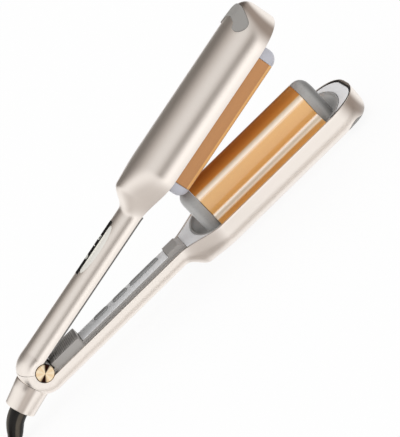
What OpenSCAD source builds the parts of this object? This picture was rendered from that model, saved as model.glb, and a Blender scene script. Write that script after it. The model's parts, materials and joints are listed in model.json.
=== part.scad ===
// Hair waver: two hinged arms that press hair between a tall heated dome and two heated rails.
// Both arms are drawn about the hinge axis, closed and parallel, with X along the arms and Z up.
// The lower arm lies on the flat back of its barrel casing, and the upper arm is turned open.

/* [Arms] */
// Hinge axis to the tip of the casings
arm_length = 287.7; // [282:0.1:294]
// Angle between the arms when they stand open
open_angle = 12.4; // [11:0.1:13]
// Width of the barrel casings
casing_w = 64.6; // [64:0.1:70]
// Barrel casing from rim to back
casing_h = 23.2; // [22.8:0.1:26]
// Wall of the casings
wall = 2; // [1.6:0.1:2.2]
// Width of the handles
handle_w = 29.4; // [29:0.1:31]
// Lower handle from rim to back
lower_handle_h = 13.1; // [12.9:0.1:14.5]
// Upper handle from rim to back
upper_handle_h = 11.9; // [11.7:0.1:13]
// Lower rim below the hinge axis
lower_rim = 5.9; // [5.8:0.1:6.2]
// Upper rim above the hinge axis
upper_rim = 4.8; // [4.7:0.1:5.2]
// Hinge axis to where the neck starts to widen
neck_x = 122; // [120:0.5:124]
// Length over which the neck widens
neck_flare = 36; // [33:0.5:38]
// Length over which the back of the neck rises
neck_rise = 14; // [10:0.5:20]
// Length of the rounded end of the plan outline
tip_round = 31.7; // [28:0.1:33]
// Length of the rounding at the end of the back
tip_drop = 11.7; // [10:0.1:14]
// Height of the tip's end wall, as a share of the casing height
tip_wall_share = 0.6; // [0.5:0.05:0.7]
// How much the underside is flattened to rest on
rest_flat = 1; // [0.6:0.1:1.4]
// Hinge axis to the middle of the rest face
rest_x = 210; // [205:1:215]

/* [Heating plates] */
// Hinge axis to the start of the plates
plate_x = 157.5; // [156:0.1:159]
// End of the plates to the tip of the casings
tip_len = 30.7; // [30.2:0.1:36]
// Thickness of the plates
plate_t = 1.8; // [1.5:0.1:2]
// Radius of the dome's crown
dome_r = 12; // [11.5:0.1:12.2]
// Dome crown above the lower rim
dome_h = 26; // [25:0.1:26.3]
// Depth of the valleys below the lower rim
valley_depth = 4.6; // [4.2:0.1:5]
// Radius of the upper rails
rail_r = 8.1; // [7.8:0.05:8.15]
// Rail tips below the upper rim
rail_drop = 13.9; // [13:0.1:14.2]
// Gap between the dome and the trough when closed
trough_gap = 1.8; // [1.6:0.1:1.9]
// Length of the end caps toward the handle
rear_cap_len = 10; // [9:0.5:10.5]
// Length of the end caps toward the tip
tip_cap_len = 10.5; // [9.5:0.5:11]
// How far the rails sit nearer the tip than the dome
rail_shift = 2; // [1.5:0.1:2.4]
// Rounding of the end caps' noses
nose_r = 8; // [6:0.5:8.5]
// Reach of the bowl toward the handle
rear_bowl = 17.2; // [15:0.1:18]
// Reach of the bowl toward the tip
tip_bowl = 18; // [16:0.1:20]
// Depth of the bowls below the lower rim
bowl_depth = 6.8; // [6:0.1:7.5]
// Wall of the bowls
bowl_t = 1.6; // [1.2:0.1:2]

/* [Handle] */
// Thickness of the inner frames' plates
frame_t = 2; // [1.6:0.1:2.2]
// Half width of the block behind the hinge
block_half_w = 11.2; // [10.8:0.1:11.4]
// Top of that block above the hinge axis
block_top = 0.65; // [0.2:0.05:1.2]
// Hinge axis to the end of that block
block_end = 33; // [31:0.5:33.5]
// Half width of the raised island
island_half_w = 8.4; // [8.2:0.1:8.8]
// Height of the island's side walls above the lower rim
island_h = 1.5; // [1.3:0.1:1.8]
// Hinge axis to the foot of the island's end
island_end = 129.5; // [128:0.5:131]
// Height of the end block above the island's side walls
end_block_h = 1.95; // [1.6:0.05:2.2]
// Hinge axis to the start of the control panel
panel_x = 33.5; // [33.5:0.1:34.5]
// Length of the control panel
panel_len = 82; // [80:0.5:83]
// Half width of the control panel
panel_half_w = 8.2; // [8:0.1:8.4]
// Thickness of the control panel's edge
panel_edge = 0.4; // [0.3:0.1:0.6]
// Crown of the control panel above its edge
panel_crown = 1.66; // [1.4:0.02:1.9]
// Thickness of the control panel
panel_t = 1.2; // [1:0.1:1.3]
// Width of the buttons
button_w = 4.8; // [4.4:0.1:5.2]
// How far the buttons stand proud of the panel's crown
button_proud = 0.9; // [0.7:0.1:1.1]
// Length of the power button
power_len = 12.5; // [11:0.5:13.5]
// Middle of the power button to the middle of the mode button
power_pitch = 18.2; // [17.6:0.1:18.6]
// Length of the mode button
mode_len = 13; // [11:0.5:14]
// Middle of the mode button to the middle of the rocker
mode_pitch = 23; // [22.6:0.1:23.4]
// Length of the temperature rocker
rocker_len = 26.1; // [22:0.1:27]
// Middle of the rocker to the end of the control panel
rocker_margin = 19.3; // [18.9:0.1:19.7]
// Travel of the push buttons
button_travel = 0.6; // [0.4:0.1:0.8]
// Hinge axis to the middle of the display
display_x = 89.5; // [88:0.5:91]
// Length of the display window
display_len = 43.6; // [41:0.1:45]
// Width of the display window
display_w = 4; // [3.6:0.1:4.4]
// Depth of the scooped facets on both sides of the display
facet_depth = 0.5; // [0.3:0.1:0.6]
// Slope of those facets
facet_slope = 12; // [10:0.5:14]
// Thickness of the display lens
lens_t = 1.6; // [1.3:0.1:1.8]

/* [Hinge] */
// Radius of the hinge pin
pin_r = 2.5; // [2.3:0.1:2.6]
// Radius of the hinge caps
hinge_cap_r = 6.45; // [6.4:0.05:6.6]
// Thickness of the hinge caps
hinge_cap_t = 2.8; // [2.4:0.1:3]
// Radius of the hinge ears
ear_r = 6.3; // [6:0.1:6.4]
// Outer radius of the knuckles
knuckle_r = 6; // [5.8:0.1:6.1]
// Half width of the knuckles
knuckle_half_w = 9.3; // [9:0.1:9.4]
// Half width of the room for the torsion spring
spring_room = 3.6; // [3.5:0.1:3.8]
// Wire radius of the torsion spring
wire_r = 0.65; // [0.6:0.05:0.65]
// Turns of the torsion spring
spring_turns = 4; // [3:1:4]
// Angle of the split between the arms behind the hinge, above the lower arm's line
seam_angle = 33; // [31:0.5:35]
// Radius of the casings at that split
seam_r = 17.8; // [17.2:0.1:18]

/* [Cord outlet] */
// Slope of the outlet's axis below the lower arm
outlet_angle = 19.1; // [18:0.1:20]
// Hinge axis to the inner end of the collar
collar_x = 13.7; // [13.4:0.1:14]
// Length of the collar
collar_len = 19.5; // [18:0.1:20]
// Radius of the collar at its inner end
collar_r = 12.3; // [11.9:0.05:12.4]
// Radius of the collar at its outer end
collar_end_r = 11.15; // [10.9:0.05:11.4]
// Radius of the swivel's bore in the collar
swivel_r = 7.5; // [7.3:0.1:7.6]
// Radius of the strain relief inside the swivel
boot_root_r = 5.6; // [5.3:0.1:5.8]
// Radius of the cord
cord_r = 3; // [2.8:0.1:3]

/* [Coil and plug] */
// Mean radius of the stored coil
coil_r = 33; // [31:0.5:34]
// Turns side by side in the coil
coil_columns = 3; // [3:1:3]
// Turns on top of each other in the coil
coil_rows = 3; // [3:1:3]
// Width of the cord tie
tie_w = 12; // [10:0.5:14]
// Thickness of the cord tie
tie_t = 1.2; // [1:0.1:1.4]
// Radius of the plug's pins
plug_pin_r = 2; // [2:0.01:2.02]
// Length of the plug's pins
plug_pin_len = 19; // [18.5:0.1:19.5]
// Distance between the plug's pins
plug_pin_pitch = 18.6; // [18.5:0.1:19]
// Thickness of the plug's body
plug_t = 13.7; // [13:0.1:14.5]
// Width of the plug's body
plug_w = 35.3; // [33:0.1:36]
// Length of the plug's body
plug_len = 36; // [33:0.5:38]

/* [Hidden] */
$fn = 48;

gap = 0.3;            // between pieces that must clear each other
seam = 0.2;           // between fixed pieces that butt together
run_fit = 0.05;       // radial clearance of a turning fit
section_power = 2.2;  // fullness of the casings' cross-section
plan_power = 2.5;     // fullness of the plan outline's rounded end
levels = 9;           // facets from the rim to the spine of a casing
recess = 0.3;         // trays and plate edges below the rims
lip = 1.2;            // rounded edge of a bowl
ledge = 1.4;          // ledges that hold a heater

casing_half = casing_w / 2;
handle_half = handle_w / 2;
floor_z = -lower_rim - casing_h;
round_x = arm_length - tip_round;
drop_x = arm_length - tip_drop;
plate_len = arm_length - tip_len - plate_x;
plate_end = plate_x + plate_len;
cap_hole_r = hinge_cap_r + gap + run_fit;
dome_z = -lower_rim + dome_h - dome_r;
dome_crown = dome_z + dome_r;
trough_r = dome_r + trough_gap;
rail_y = trough_r + rail_r;
rail_z = upper_rim - rail_drop + rail_r;
valley_r = rail_y - dome_r;
valley_z = -lower_rim - valley_depth + valley_r;
edge_half = casing_half - wall - gap;
tray_z = -lower_rim - recess;
rear_nose_x = plate_x - rear_cap_len;
tip_nose_x = plate_end + tip_cap_len;
trough_rear = rear_nose_x - 2.5;
trough_tip = tip_nose_x + 2.5;
end_wall = 1.6;

// An arm: rim below the axis, handle depth, split angle behind the hinge, flattening of the back.
LOWER = [lower_rim, lower_handle_h, 90 + seam_angle, rest_flat];
UPPER = [upper_rim, upper_handle_h, 90 - seam_angle - open_angle - 1.2, 0];

function ease(a, b, x) = let (t = min(1, max(0, (x - a) / (b - a)))) t * t * (3 - 2 * t);
function round_off(t, p) = pow(max(0, 1 - pow(min(1, max(0, t)), p)), 1 / p);
function arc(c, r, a0, a1, n = 12) =
    [for (i = [0 : n]) let (a = a0 + (a1 - a0) * i / n) c + r * [cos(a), sin(a)]];
function mirrored(path) = [for (i = [len(path) - 1 : -1 : 0]) [-path[i][0], path[i][1]]];

// Plan half width, inset by t
function half_w(x, t = 0) =
    (handle_half - t + (casing_half - handle_half) * ease(neck_x, neck_x + neck_flare, x))
    * round_off((x - round_x) / (arm_length - round_x), plan_power);
// Spine below the hinge axis, inset by t
function spine(arm, x, t = 0) =
    arm[0] + (arm[1] - t + (casing_h - arm[1]) * ease(neck_x, neck_x + neck_rise, x))
    * (tip_wall_share + (1 - tip_wall_share) * round_off((x - drop_x) / tip_drop, section_power));
function rim(arm, x) = max(arm[0], x < cap_hole_r ? sqrt(pow(cap_hole_r, 2) - x * x) : 0);

// Stations along an arm: [angle swept behind the hinge, distance along the arm]
function sweep_stations(arm) = [for (i = [0 : 8]) [arm[2] * (1 - i / 9), 0]];
function body_stations() = concat(
    [for (x = [0, 1.3, 2.5, 3.7, 5.2, 30, 60, 90, neck_x - 4]) [0, x]],
    [for (i = [0 : 14]) [0, neck_x + neck_flare * i / 14]],
    [for (x = [plate_x + 25, plate_x + 60]) [0, x]]);
function tip_stations() =
    [for (i = [0 : 13]) [0, round_x + tip_round * pow(sin(90 * i / 13), 2 / plan_power)]];

// A point of an arm's surface, inset by t, on one side (-1 or 1) at a level from rim to spine
function shell_point(arm, st, side, level, t) =
    let (
        a = 90 * level / levels,
        x = st[1] > round_x ? round_x + (st[1] - round_x) * (tip_round - t) / tip_round : st[1],
        top = st[0] > 0 ? cap_hole_r : rim(arm, st[1]),
        low = st[0] > 0
            ? arm[0] + arm[1] - t + (seam_r - arm[0] - arm[1]) * ease(0, arm[2], st[0])
            : spine(arm, st[1], t),
        sag = arm[3] * ease(neck_x, neck_x + neck_rise, st[1]) * (st[1] < arm_length - 0.1 ? 1 : 0),
        drop = min(low - top, (low - top + sag) * pow(sin(a), 2 / section_power)),
        y = side * half_w(st[1], t) * pow(max(0, cos(a)), 2 / section_power),
        r = top + drop
    )
    st[0] > 0 ? [-r * sin(st[0]), y, -r * cos(st[0])] : [x, y, -r];

// A closed skin between two insets of an arm's surface, open toward the rim
module skin(arm, stations, outer, inner) {
    n = len(stations) - 1;
    cols = 2 * n + 1;
    count = cols * (levels + 1);
    points = [for (t = [outer, inner]) for (level = [0 : levels]) for (c = [0 : 2 * n])
        shell_point(arm, stations[c <= n ? c : 2 * n - c], c <= n ? -1 : 1, level, t)];
    function at(layer, level, c) =
        layer * count + level * cols + (level == levels ? min(c, 2 * n - c) : c);
    function quad(a, b, c, d) = [[a, b, c], [a, c, d]];
    function keep(f) = f[0] != f[1] && f[1] != f[2] && f[0] != f[2];
    faces = concat(
        [for (k = [0 : levels - 1]) for (c = [0 : 2 * n - 1]) for (f = concat(
            quad(at(0, k, c), at(0, k + 1, c), at(0, k + 1, c + 1), at(0, k, c + 1)),
            quad(at(1, k, c), at(1, k, c + 1), at(1, k + 1, c + 1), at(1, k + 1, c)))) f],
        [for (c = [0 : 2 * n - 1])
            for (f = quad(at(0, 0, c), at(0, 0, c + 1), at(1, 0, c + 1), at(1, 0, c))) f],
        [for (k = [0 : levels - 1]) for (f = concat(
            quad(at(0, k, 0), at(1, k, 0), at(1, k + 1, 0), at(0, k + 1, 0)),
            quad(at(0, k, 2 * n), at(0, k + 1, 2 * n), at(1, k + 1, 2 * n), at(1, k, 2 * n)))) f]);
    polyhedron(points, [for (f = faces) if (keep(f)) [f[2], f[1], f[0]]], convexity = 6);
}

module at_hinge() translate([-rest_x, 0, -floor_z]) children();
module at_upper() at_hinge() rotate([0, -open_angle, 0]) children();
module at_outlet() at_hinge() rotate([0, -90 - outlet_angle, 0]) children();
module along_x(x0, x1) translate([x0, 0, 0]) rotate([90, 0, 90]) linear_extrude(x1 - x0) children();
module along_y(y0, y1) translate([0, y1, 0]) rotate([90, 0, 0]) linear_extrude(y1 - y0) children();
module both_sides() { children(); mirror([0, 1, 0]) children(); }
module pill(len, w) {
    square([len - w, w], center = true);
    for (s = [-1, 1]) translate([s * (len - w) / 2, 0]) circle(d = w);
}
// The plan outline between two stations, inset from the casing's outside
module plan(x0, x1, inset) {
    steps = 16;
    side = [for (i = [0 : steps]) let (x = x0 + (x1 - x0) * sin(90 * i / steps),
        st = x > round_x ? round_x + (x - round_x) * tip_round / (tip_round - inset) : x)
        [x, half_w(st, inset)]];
    polygon(concat(side, [for (i = [steps : -1 : 0]) [side[i][0], -side[i][1]]]));
}

// A solid through rings of points, each ring turning left about the way it goes
module loft(rings) {
    n = len(rings[0]);
    m = len(rings);
    polyhedron([for (ring = rings) for (p = ring) p], concat(
        [[for (k = [0 : n - 1]) k]],
        [for (i = [0 : m - 2]) for (k = [0 : n - 1]) let (j = (k + 1) % n)
            for (f = [[i * n + k, (i + 1) * n + k, (i + 1) * n + j],
                    [i * n + k, (i + 1) * n + j, i * n + j]]) f],
        [[for (k = [n - 1 : -1 : 0]) (m - 1) * n + k]]), convexity = 4);
}

// ---- Casings ----
// The inserts end in two lobes toward the handle, with a hollow edge between them.
insert_x = arm_length - 34.9;
insert_r = 31;
insert_half = 23.2;
hollow_x = arm_length - 46.4;
hollow_r = 30;
lobe_r = 6;
lobe_x = arm_length - 17.2;
module insert_outline(grow) {
    difference() {
        intersection() {
            translate([insert_x, 0]) circle(insert_r + grow, $fn = 96);
            translate([hollow_x, lobe_r - insert_half]) square([60, 2 * (insert_half - lobe_r)]);
        }
        translate([hollow_x, 0]) circle(hollow_r - grow, $fn = 96);
    }
    intersection() {
        translate([insert_x, 0]) circle(insert_r + grow, $fn = 96);
        translate([lobe_x, -insert_half - grow]) square([40, 2 * (insert_half + grow)]);
    }
    for (y = [-1, 1]) translate([lobe_x, y * (insert_half - lobe_r)]) circle(lobe_r + grow);
}
module insert_prism(grow) translate([0, 0, -lower_rim - casing_h - 2])
    linear_extrude(casing_h * 0.75) insert_outline(grow);

collar_bore_r = swivel_r + 1.4;
module boss(x, z0, z1, z_hole) translate([x, 0, 0]) difference() {
    translate([0, 0, z0]) cylinder(r = boss_r, h = z1 - z0);
    translate([0, 0, z_hole]) cylinder(r = screw_r + run_fit, h = z1 - z_hole + 1);
}
module lower_casing() color([0.84, 0.79, 0.75]) at_hinge() {
    difference() {
        skin(LOWER, concat(sweep_stations(LOWER), body_stations(), tip_stations()), 0, wall);
        rotate([0, -90 - outlet_angle, 0]) {
            translate([0, 0, collar_x - seam]) cylinder(r = collar_r + gap, h = collar_len);
            translate([0, 0, collar_x / 2]) cylinder(r = collar_bore_r, h = collar_len);
        }
        insert_prism(0);
    }
    for (x = lower_screw_x)
        boss(x, wall / 2 - lower_rim - lower_handle_h, frame_low - 0.1, pocket_floor - screw_len - 0.2);
}
module lower_tip_insert() color([0.59, 0.58, 0.56]) at_hinge() intersection() {
    skin(LOWER, tip_stations(), 0, wall);
    insert_prism(-seam);
}
insert_proud = 0.8;
dimple_r = 40;
facet_r = (pow(display_len, 2) / 4 + pow(facet_depth, 2)) / (2 * facet_depth);
facet_y = display_w / 2 + 2.6;
upper_back = upper_rim + upper_handle_h;
module facet_cutters() both_sides()
    translate([display_x, -facet_y, upper_back - 0.75 - facet_depth]) rotate([facet_slope, 0, 0])
        translate([0, 0, facet_r]) along_y(-6, facet_y - display_w / 2 - 0.2) intersection() {
            circle(facet_r, $fn = 360);
            translate([-display_len / 2, -facet_r - 1]) square([display_len, 6]);
        }
module upper_casing() color([0.84, 0.79, 0.75]) at_upper() {
    difference() {
        mirror([0, 0, 1])
            skin(UPPER, concat(sweep_stations(UPPER), body_stations(), tip_stations()), 0, wall);
        facet_cutters();
        translate([display_x, 0, upper_back / 2]) linear_extrude(upper_back)
            square([display_len, display_w], center = true);
        mirror([0, 0, 1]) insert_prism(0);
    }
    mirror([0, 0, 1]) for (x = upper_screw_x) boss(x, wall / 2 - upper_back,
        -upper_plate_z - frame_t - 0.1, -upper_plate_z - upper_screw_len - 0.2);
}
module upper_tip_insert() color([0.59, 0.58, 0.56]) at_upper() difference() {
    mirror([0, 0, 1]) intersection() {
        skin(UPPER, tip_stations(), -insert_proud, wall);
        insert_prism(-seam);
    }
    translate([lobe_x + 7, 0, upper_rim + casing_h + dimple_r - 0.3]) sphere(dimple_r);
}
module display_lens() color([0.1, 0.09, 0.08]) at_upper()
    translate([display_x, 0, upper_back - lens_t + 0.15]) linear_extrude(lens_t)
        square([display_len - seam, display_w - seam], center = true);

// ---- Heating plates and their end caps ----
edge_angle = asin((-lower_rim - 1.1 - valley_z) / valley_r);
function lower_wave(t) = concat(
    arc([rail_y, valley_z], valley_r + t, edge_angle, -180),
    arc([0, dome_z], dome_r - t, 0, 90));
upper_edge = upper_rim + 2;
function upper_wave(t) = concat(
    [[rail_y + rail_r - t, upper_edge]],
    arc([rail_y, rail_z], rail_r - t, 0, -180),
    arc([0, dome_z], trough_r + t, 0, 90));
module sheet_outline(face, back) {
    upper_path = concat(face, mirrored(face));
    lower_path = concat(back, mirrored(back));
    polygon(concat(upper_path, [for (i = [len(lower_path) - 1 : -1 : 0]) lower_path[i]]));
}
heater_margin = 7.75;
heater_len = plate_len - 2 * heater_margin;
heater_x = plate_x + heater_margin;
heater_half_w = dome_r - plate_t - 3.2;
heater_h = 7;
module lower_heating_plate() color([0.8, 0.6, 0.38]) at_hinge() along_x(plate_x, plate_end) {
    intersection() {
        sheet_outline(lower_wave(0), lower_wave(plate_t));
        square([2 * edge_half, 4 * casing_h], center = true);
    }
    for (s = [-1, 1]) translate([s * (heater_half_w + dome_r - plate_t + 0.5) / 2 , dome_z - gap - ledge / 2])
        square([dome_r - plate_t + 1.5 - heater_half_w, ledge], center = true);
}
module lower_heater() color([0.75, 0.75, 0.75]) at_hinge()
    translate([heater_x, -heater_half_w, dome_z])
        cube([heater_len, 2 * heater_half_w, heater_h]);
module lower_heater_clamp() color([0.7, 0.72, 0.74]) at_hinge()
    translate([heater_x, -heater_half_w + 1.4, dome_z - gap - 1])
        cube([heater_len, 2 * heater_half_w - 2.8, 1]);
fuse_r = 1.8;
module thermal_fuse() color([0.85, 0.82, 0.7]) at_hinge()
    translate([plate_x + plate_len / 2 - 5, 0, dome_z - gap - 1 - seam - fuse_r])
        rotate([0, 90, 0]) cylinder(r = fuse_r, h = 10);

// The dome's arch, or a rail turned up, shrunk by t
module arch(r, z, low, t) {
    translate([0, z]) circle(r - t, $fn = 32);
    translate([t - r, low]) square([2 * (r - t), z - low]);
}
// A nose that ends an arch: from x0 to x1 with its end rounded
module nose(x0, x1, r, z, low) {
    dir = x1 > x0 ? 1 : -1;
    q = min(nose_r, abs(x1 - x0) - 0.3);
    slices = concat([[x0, 0]],
        [for (i = [0 : 5]) let (a = 18 * i) [x1 - dir * q * (1 - sin(a)), (1 - cos(a)) * min(nose_r, r - 1)]]);
    loft([for (s = slices) let (path = concat([[r - s[1], low]],
        [for (k = [0 : 20]) let (a = 9 * k) [(r - s[1]) * cos(a), z + (r - s[1]) * sin(a)]], [[s[1] - r, low]]))
        [for (k = [0 : len(path) - 1]) let (p = path[dir > 0 ? k : len(path) - 1 - k]) [s[0], p[0], p[1]]]]);
}
// Half of a bowl below z = 0, open toward x = 0
module half_bowl(reach, half, depth, t) {
    cols = 24;
    rows = 8;
    points = [for (g = [[reach + lip, half + lip, depth + t], [reach, half, depth]])
        for (k = [0 : rows]) for (c = [0 : cols]) let (a = 90 * k / rows, b = 180 * c / cols - 90)
            [-g[0] * cos(b) * cos(a), g[1] * sin(b) * cos(a), -g[2] * sin(a)]];
    function at(layer, k, c) = (layer * (rows + 1) + k) * (cols + 1) + (k == rows ? 0 : c);
    function quad(a, b, c, d) = [[a, b, c], [a, c, d]];
    faces = concat(
        [for (k = [0 : rows - 1]) for (c = [0 : cols - 1]) for (f = concat(
            quad(at(0, k, c), at(0, k, c + 1), at(0, k + 1, c + 1), at(0, k + 1, c)),
            quad(at(1, k, c), at(1, k + 1, c), at(1, k + 1, c + 1), at(1, k, c + 1)))) f],
        [for (c = [0 : cols - 1]) for (f = quad(at(0, 0, c), at(1, 0, c), at(1, 0, c + 1), at(0, 0, c + 1))) f],
        [for (k = [0 : rows - 1]) for (f = concat(
            quad(at(0, k, 0), at(0, k + 1, 0), at(1, k + 1, 0), at(1, k, 0)),
            quad(at(0, k, cols), at(1, k, cols), at(1, k + 1, cols), at(0, k + 1, cols)))) f]);
    polyhedron(points, [for (f = faces) if (f[0] != f[1] && f[1] != f[2] && f[0] != f[2])
        [f[2], f[1], f[0]]], convexity = 4);
}
module lower_end_cap(reach, nose_len) {
    half_bowl(reach, edge_half - lip, bowl_depth - recess, bowl_t);
    translate([0, 0, -tray_z]) nose(-0.01, -nose_len, dome_r, dome_z, tray_z - bowl_depth + 1);
}
module lower_end_cap_rear() color([0.56, 0.55, 0.53]) at_hinge()
    translate([plate_x - seam, 0, tray_z]) lower_end_cap(rear_bowl, rear_cap_len);
module lower_end_cap_tip() color([0.56, 0.55, 0.53]) at_hinge()
    translate([plate_end + seam, 0, tray_z]) mirror([1, 0, 0]) lower_end_cap(tip_bowl, tip_cap_len);
tray_t = 1.6;
module ellipse_cut(x, reach) translate([x, 0]) scale([reach + lip + seam, edge_half + seam]) circle(1, $fn = 96);
module lower_tray_rear() color([0.83, 0.83, 0.82]) at_hinge()
    translate([0, 0, tray_z - tray_t]) linear_extrude(tray_t) difference() {
        plan(island_end + seam, plate_x - 2, wall + gap);
        ellipse_cut(plate_x - seam, rear_bowl);
    }
module lower_tray_tip() color([0.83, 0.83, 0.82]) at_hinge()
    translate([0, 0, tray_z - tray_t]) linear_extrude(tray_t) difference() {
        plan(plate_end + 6, arm_length - wall - gap - 0.03, wall + gap);
        ellipse_cut(plate_end + seam, tip_bowl);
    }

upper_tray_z = upper_rim + recess;
housing_r = trough_r + end_wall;
module upper_end_cap(x_plate, x_nose, x_trough) {
    dir = x_nose > x_plate ? 1 : -1;
    x_end = x_trough + dir * end_wall;
    difference() {
        union() {
            translate([0, 0, upper_tray_z]) linear_extrude(tray_t + 1)
                plan(min(x_plate, x_end), max(x_plate, x_end), wall + gap);
            along_x(min(x_plate, x_end), max(x_plate, x_end)) intersection() {
                arch(housing_r, dome_z, upper_tray_z, 0);
                translate([-casing_half, upper_tray_z]) square([casing_w, casing_h]);
            }
            both_sides() translate([0, rail_y, 0]) mirror([0, 0, 1])
                nose(x_plate, x_nose - dir * 2, rail_r, -rail_z, -upper_tray_z - 1);
        }
        along_x(min(x_plate - dir, x_trough), max(x_plate - dir, x_trough))
            arch(trough_r, dome_z, -rail_drop, 0);
    }
}
module upper_end_cap_rear() color([0.74, 0.74, 0.77]) at_upper()
    upper_end_cap(plate_x + rail_shift - seam, rear_nose_x + rail_shift, trough_rear);
module upper_end_cap_tip() color([0.74, 0.74, 0.77]) at_upper()
    upper_end_cap(plate_end + rail_shift + seam, tip_nose_x + rail_shift, trough_tip);
module upper_heating_plate() color([0.75, 0.55, 0.36]) at_upper()
    along_x(plate_x + rail_shift, plate_end + rail_shift)
    sheet_outline(upper_wave(0), upper_wave(plate_t));
rail_inner = rail_r - plate_t;
rail_heater_half = rail_inner - 0.3;
rail_heater_z = rail_z - sqrt(pow(rail_inner, 2) - pow(rail_heater_half, 2)) + seam;
rail_heater_h = 5;
module upper_heaters() color([0.75, 0.75, 0.75]) at_upper() both_sides()
    translate([heater_x + rail_shift, rail_y - rail_heater_half, rail_heater_z])
        cube([heater_len, 2 * rail_heater_half, rail_heater_h]);
module upper_heater_clamps() color([0.7, 0.72, 0.74]) at_upper() both_sides()
    translate([heater_x + rail_shift, rail_y - rail_heater_half + 1,
            rail_heater_z + rail_heater_h + seam])
        cube([heater_len, 2 * rail_heater_half - 2, 1]);
module upper_thermistor() color([0.2, 0.2, 0.2]) at_upper()
    translate([heater_x + heater_len / 2, rail_y, rail_heater_z + rail_heater_h + 2 * seam + 1 + 1.2])
        sphere(1.2);
module upper_tray_rear() color([0.7, 0.7, 0.7]) at_upper()
    translate([0, 0, upper_tray_z]) linear_extrude(tray_t)
        plan(neck_x, trough_rear - end_wall - seam, wall + gap);
module upper_tray_tip() color([0.7, 0.7, 0.7]) at_upper()
    translate([0, 0, upper_tray_z]) linear_extrude(tray_t)
        plan(trough_tip + end_wall + seam, arm_length - wall - gap - 0.03, wall + gap);

// ---- Lower handle ----
island_z = -lower_rim + island_h;
panel_low = island_z + 0.05;
panel_top = panel_low + panel_edge + panel_crown;
panel_arc_r = (pow(panel_half_w, 2) + pow(panel_crown, 2)) / (2 * panel_crown);
block_x = cap_hole_r + gap;
pocket_floor = -lower_rim - 6.5;
frame_low = pocket_floor - 1.2;
board_z = pocket_floor + 1.2;
board_t = 1.2;
switch_h = 1.6;
actuator_h = 0.5;
actuator_top = board_z + board_t + switch_h + actuator_h;
stem_r = 1.3;
trunnion_r = 0.8;
trunnion_z = panel_top - panel_t - 1.6;
rocker_x = panel_x + panel_len - rocker_margin;
mode_x = rocker_x - mode_pitch;
power_x = mode_x - power_pitch;
switch_x = [power_x, mode_x, rocker_x - 8, rocker_x + 8];
lower_screw_x = [power_x + 9, mode_x + 9.3];
screw_len = 3.8;
screw_r = 1.25;
screw_head_r = 2.1;
boss_r = 2.8;
end_slope = 3.4;
module crown_disc(r) translate([0, panel_top - panel_arc_r]) circle(r, $fn = 96);
module crowned(half, low, r) intersection() {
    crown_disc(r);
    translate([-half, low]) square([2 * half, panel_top - low + 1]);
}
module rounded_end(x0, x1, half, r) {
    translate([x0, -half]) square([x1 - r - x0, 2 * half]);
    translate([x0, r - half]) square([x1 - x0, 2 * (half - r)]);
    for (y = [-1, 1]) translate([x1 - r, y * (half - r)]) circle(r);
}
module lower_handle_frame() color([0.57, 0.55, 0.53]) at_hinge() difference() {
    union() {
        along_x(block_x, island_end) translate([wall + gap - handle_half, -lower_rim - frame_t])
            square([handle_w - 2 * wall - 2 * gap, frame_t]);
        along_x(block_end - 2, island_end) translate([-island_half_w, frame_low])
            square([2 * island_half_w, island_z - frame_low]);
        translate([0, 0, -lower_rim - 1]) linear_extrude(block_top + lower_rim + 1)
            rounded_end(block_x, block_end, block_half_w, 1.5);
        translate([0, 0, island_z - 1]) linear_extrude(end_block_h + 1)
            rounded_end(panel_x + panel_len + seam, island_end - 0.4, island_half_w, 2.5);
        both_sides() {
            along_y(knuckle_half_w + gap, pin_end) circle(ear_r);
            translate([0, knuckle_half_w + gap, -ear_r]) cube([block_x + 1, 1.5, 3]);
        }
    }
    both_sides() along_y(0, handle_half) circle(pin_r + run_fit);
    translate([panel_x + 1.2, -panel_half_w + 1.2, pocket_floor])
        cube([panel_len - 2.4, 2 * panel_half_w - 2.4, 20]);
    translate([block_x - 1, -spring_room, -spring_coil_r - wire_r - gap])
        cube([8, spring_room, 10]);
    translate([island_end, 0, -lower_rim]) rotate([0, -atan2(end_slope, island_h + end_block_h), 0])
        translate([0, -handle_half, 0]) cube([10, handle_w, 20]);
    for (x = lower_screw_x) translate([x, 0, frame_low - 1]) cylinder(r = screw_r + 0.15, h = 5);
}
module control_panel() color([0.83, 0.83, 0.83]) at_hinge() difference() {
    union() {
        along_x(panel_x + seam, panel_x + panel_len - seam) difference() {
            crowned(panel_half_w, panel_low, panel_arc_r);
            intersection() {
                crown_disc(panel_arc_r - panel_t);
                translate([1.4 - panel_half_w, panel_low - 1]) square([2 * panel_half_w - 2.8, 9]);
            }
        }
        both_sides() translate([rocker_x - 1.6, button_w / 2 + 0.2, trunnion_z - 1.6])
            cube([3.2, 1.8, panel_t + 1.8]);
    }
    for (b = [[power_x, power_len], [mode_x, mode_len], [rocker_x, rocker_len]])
        translate([b[0], 0, island_z - 2]) linear_extrude(10) pill(b[1] + 2 * gap, button_w + 2 * gap);
    both_sides() translate([rocker_x, 0, trunnion_z]) along_y(0, button_w) circle(trunnion_r + run_fit);
}
module push_button(x, length) at_hinge() translate([x, 0, 0]) {
    translate([0, 0, panel_top - panel_t]) linear_extrude(panel_t + button_proud) pill(length, button_w);
    translate([0, 0, panel_top - panel_t - 1.4]) linear_extrude(1.5) pill(length - 1, button_w - 1.4);
    translate([0, 0, panel_top - panel_t - 2.2]) linear_extrude(0.9) pill(length + 2, button_w);
    translate([0, 0, actuator_top + button_travel + 0.1])
        cylinder(r = stem_r, h = panel_top - panel_t - 2 - actuator_top - button_travel);
}
module power_button() color([0.5, 0.5, 0.49]) push_button(power_x, power_len);
module mode_button() color([0.5, 0.5, 0.49]) push_button(mode_x, mode_len);
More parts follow.
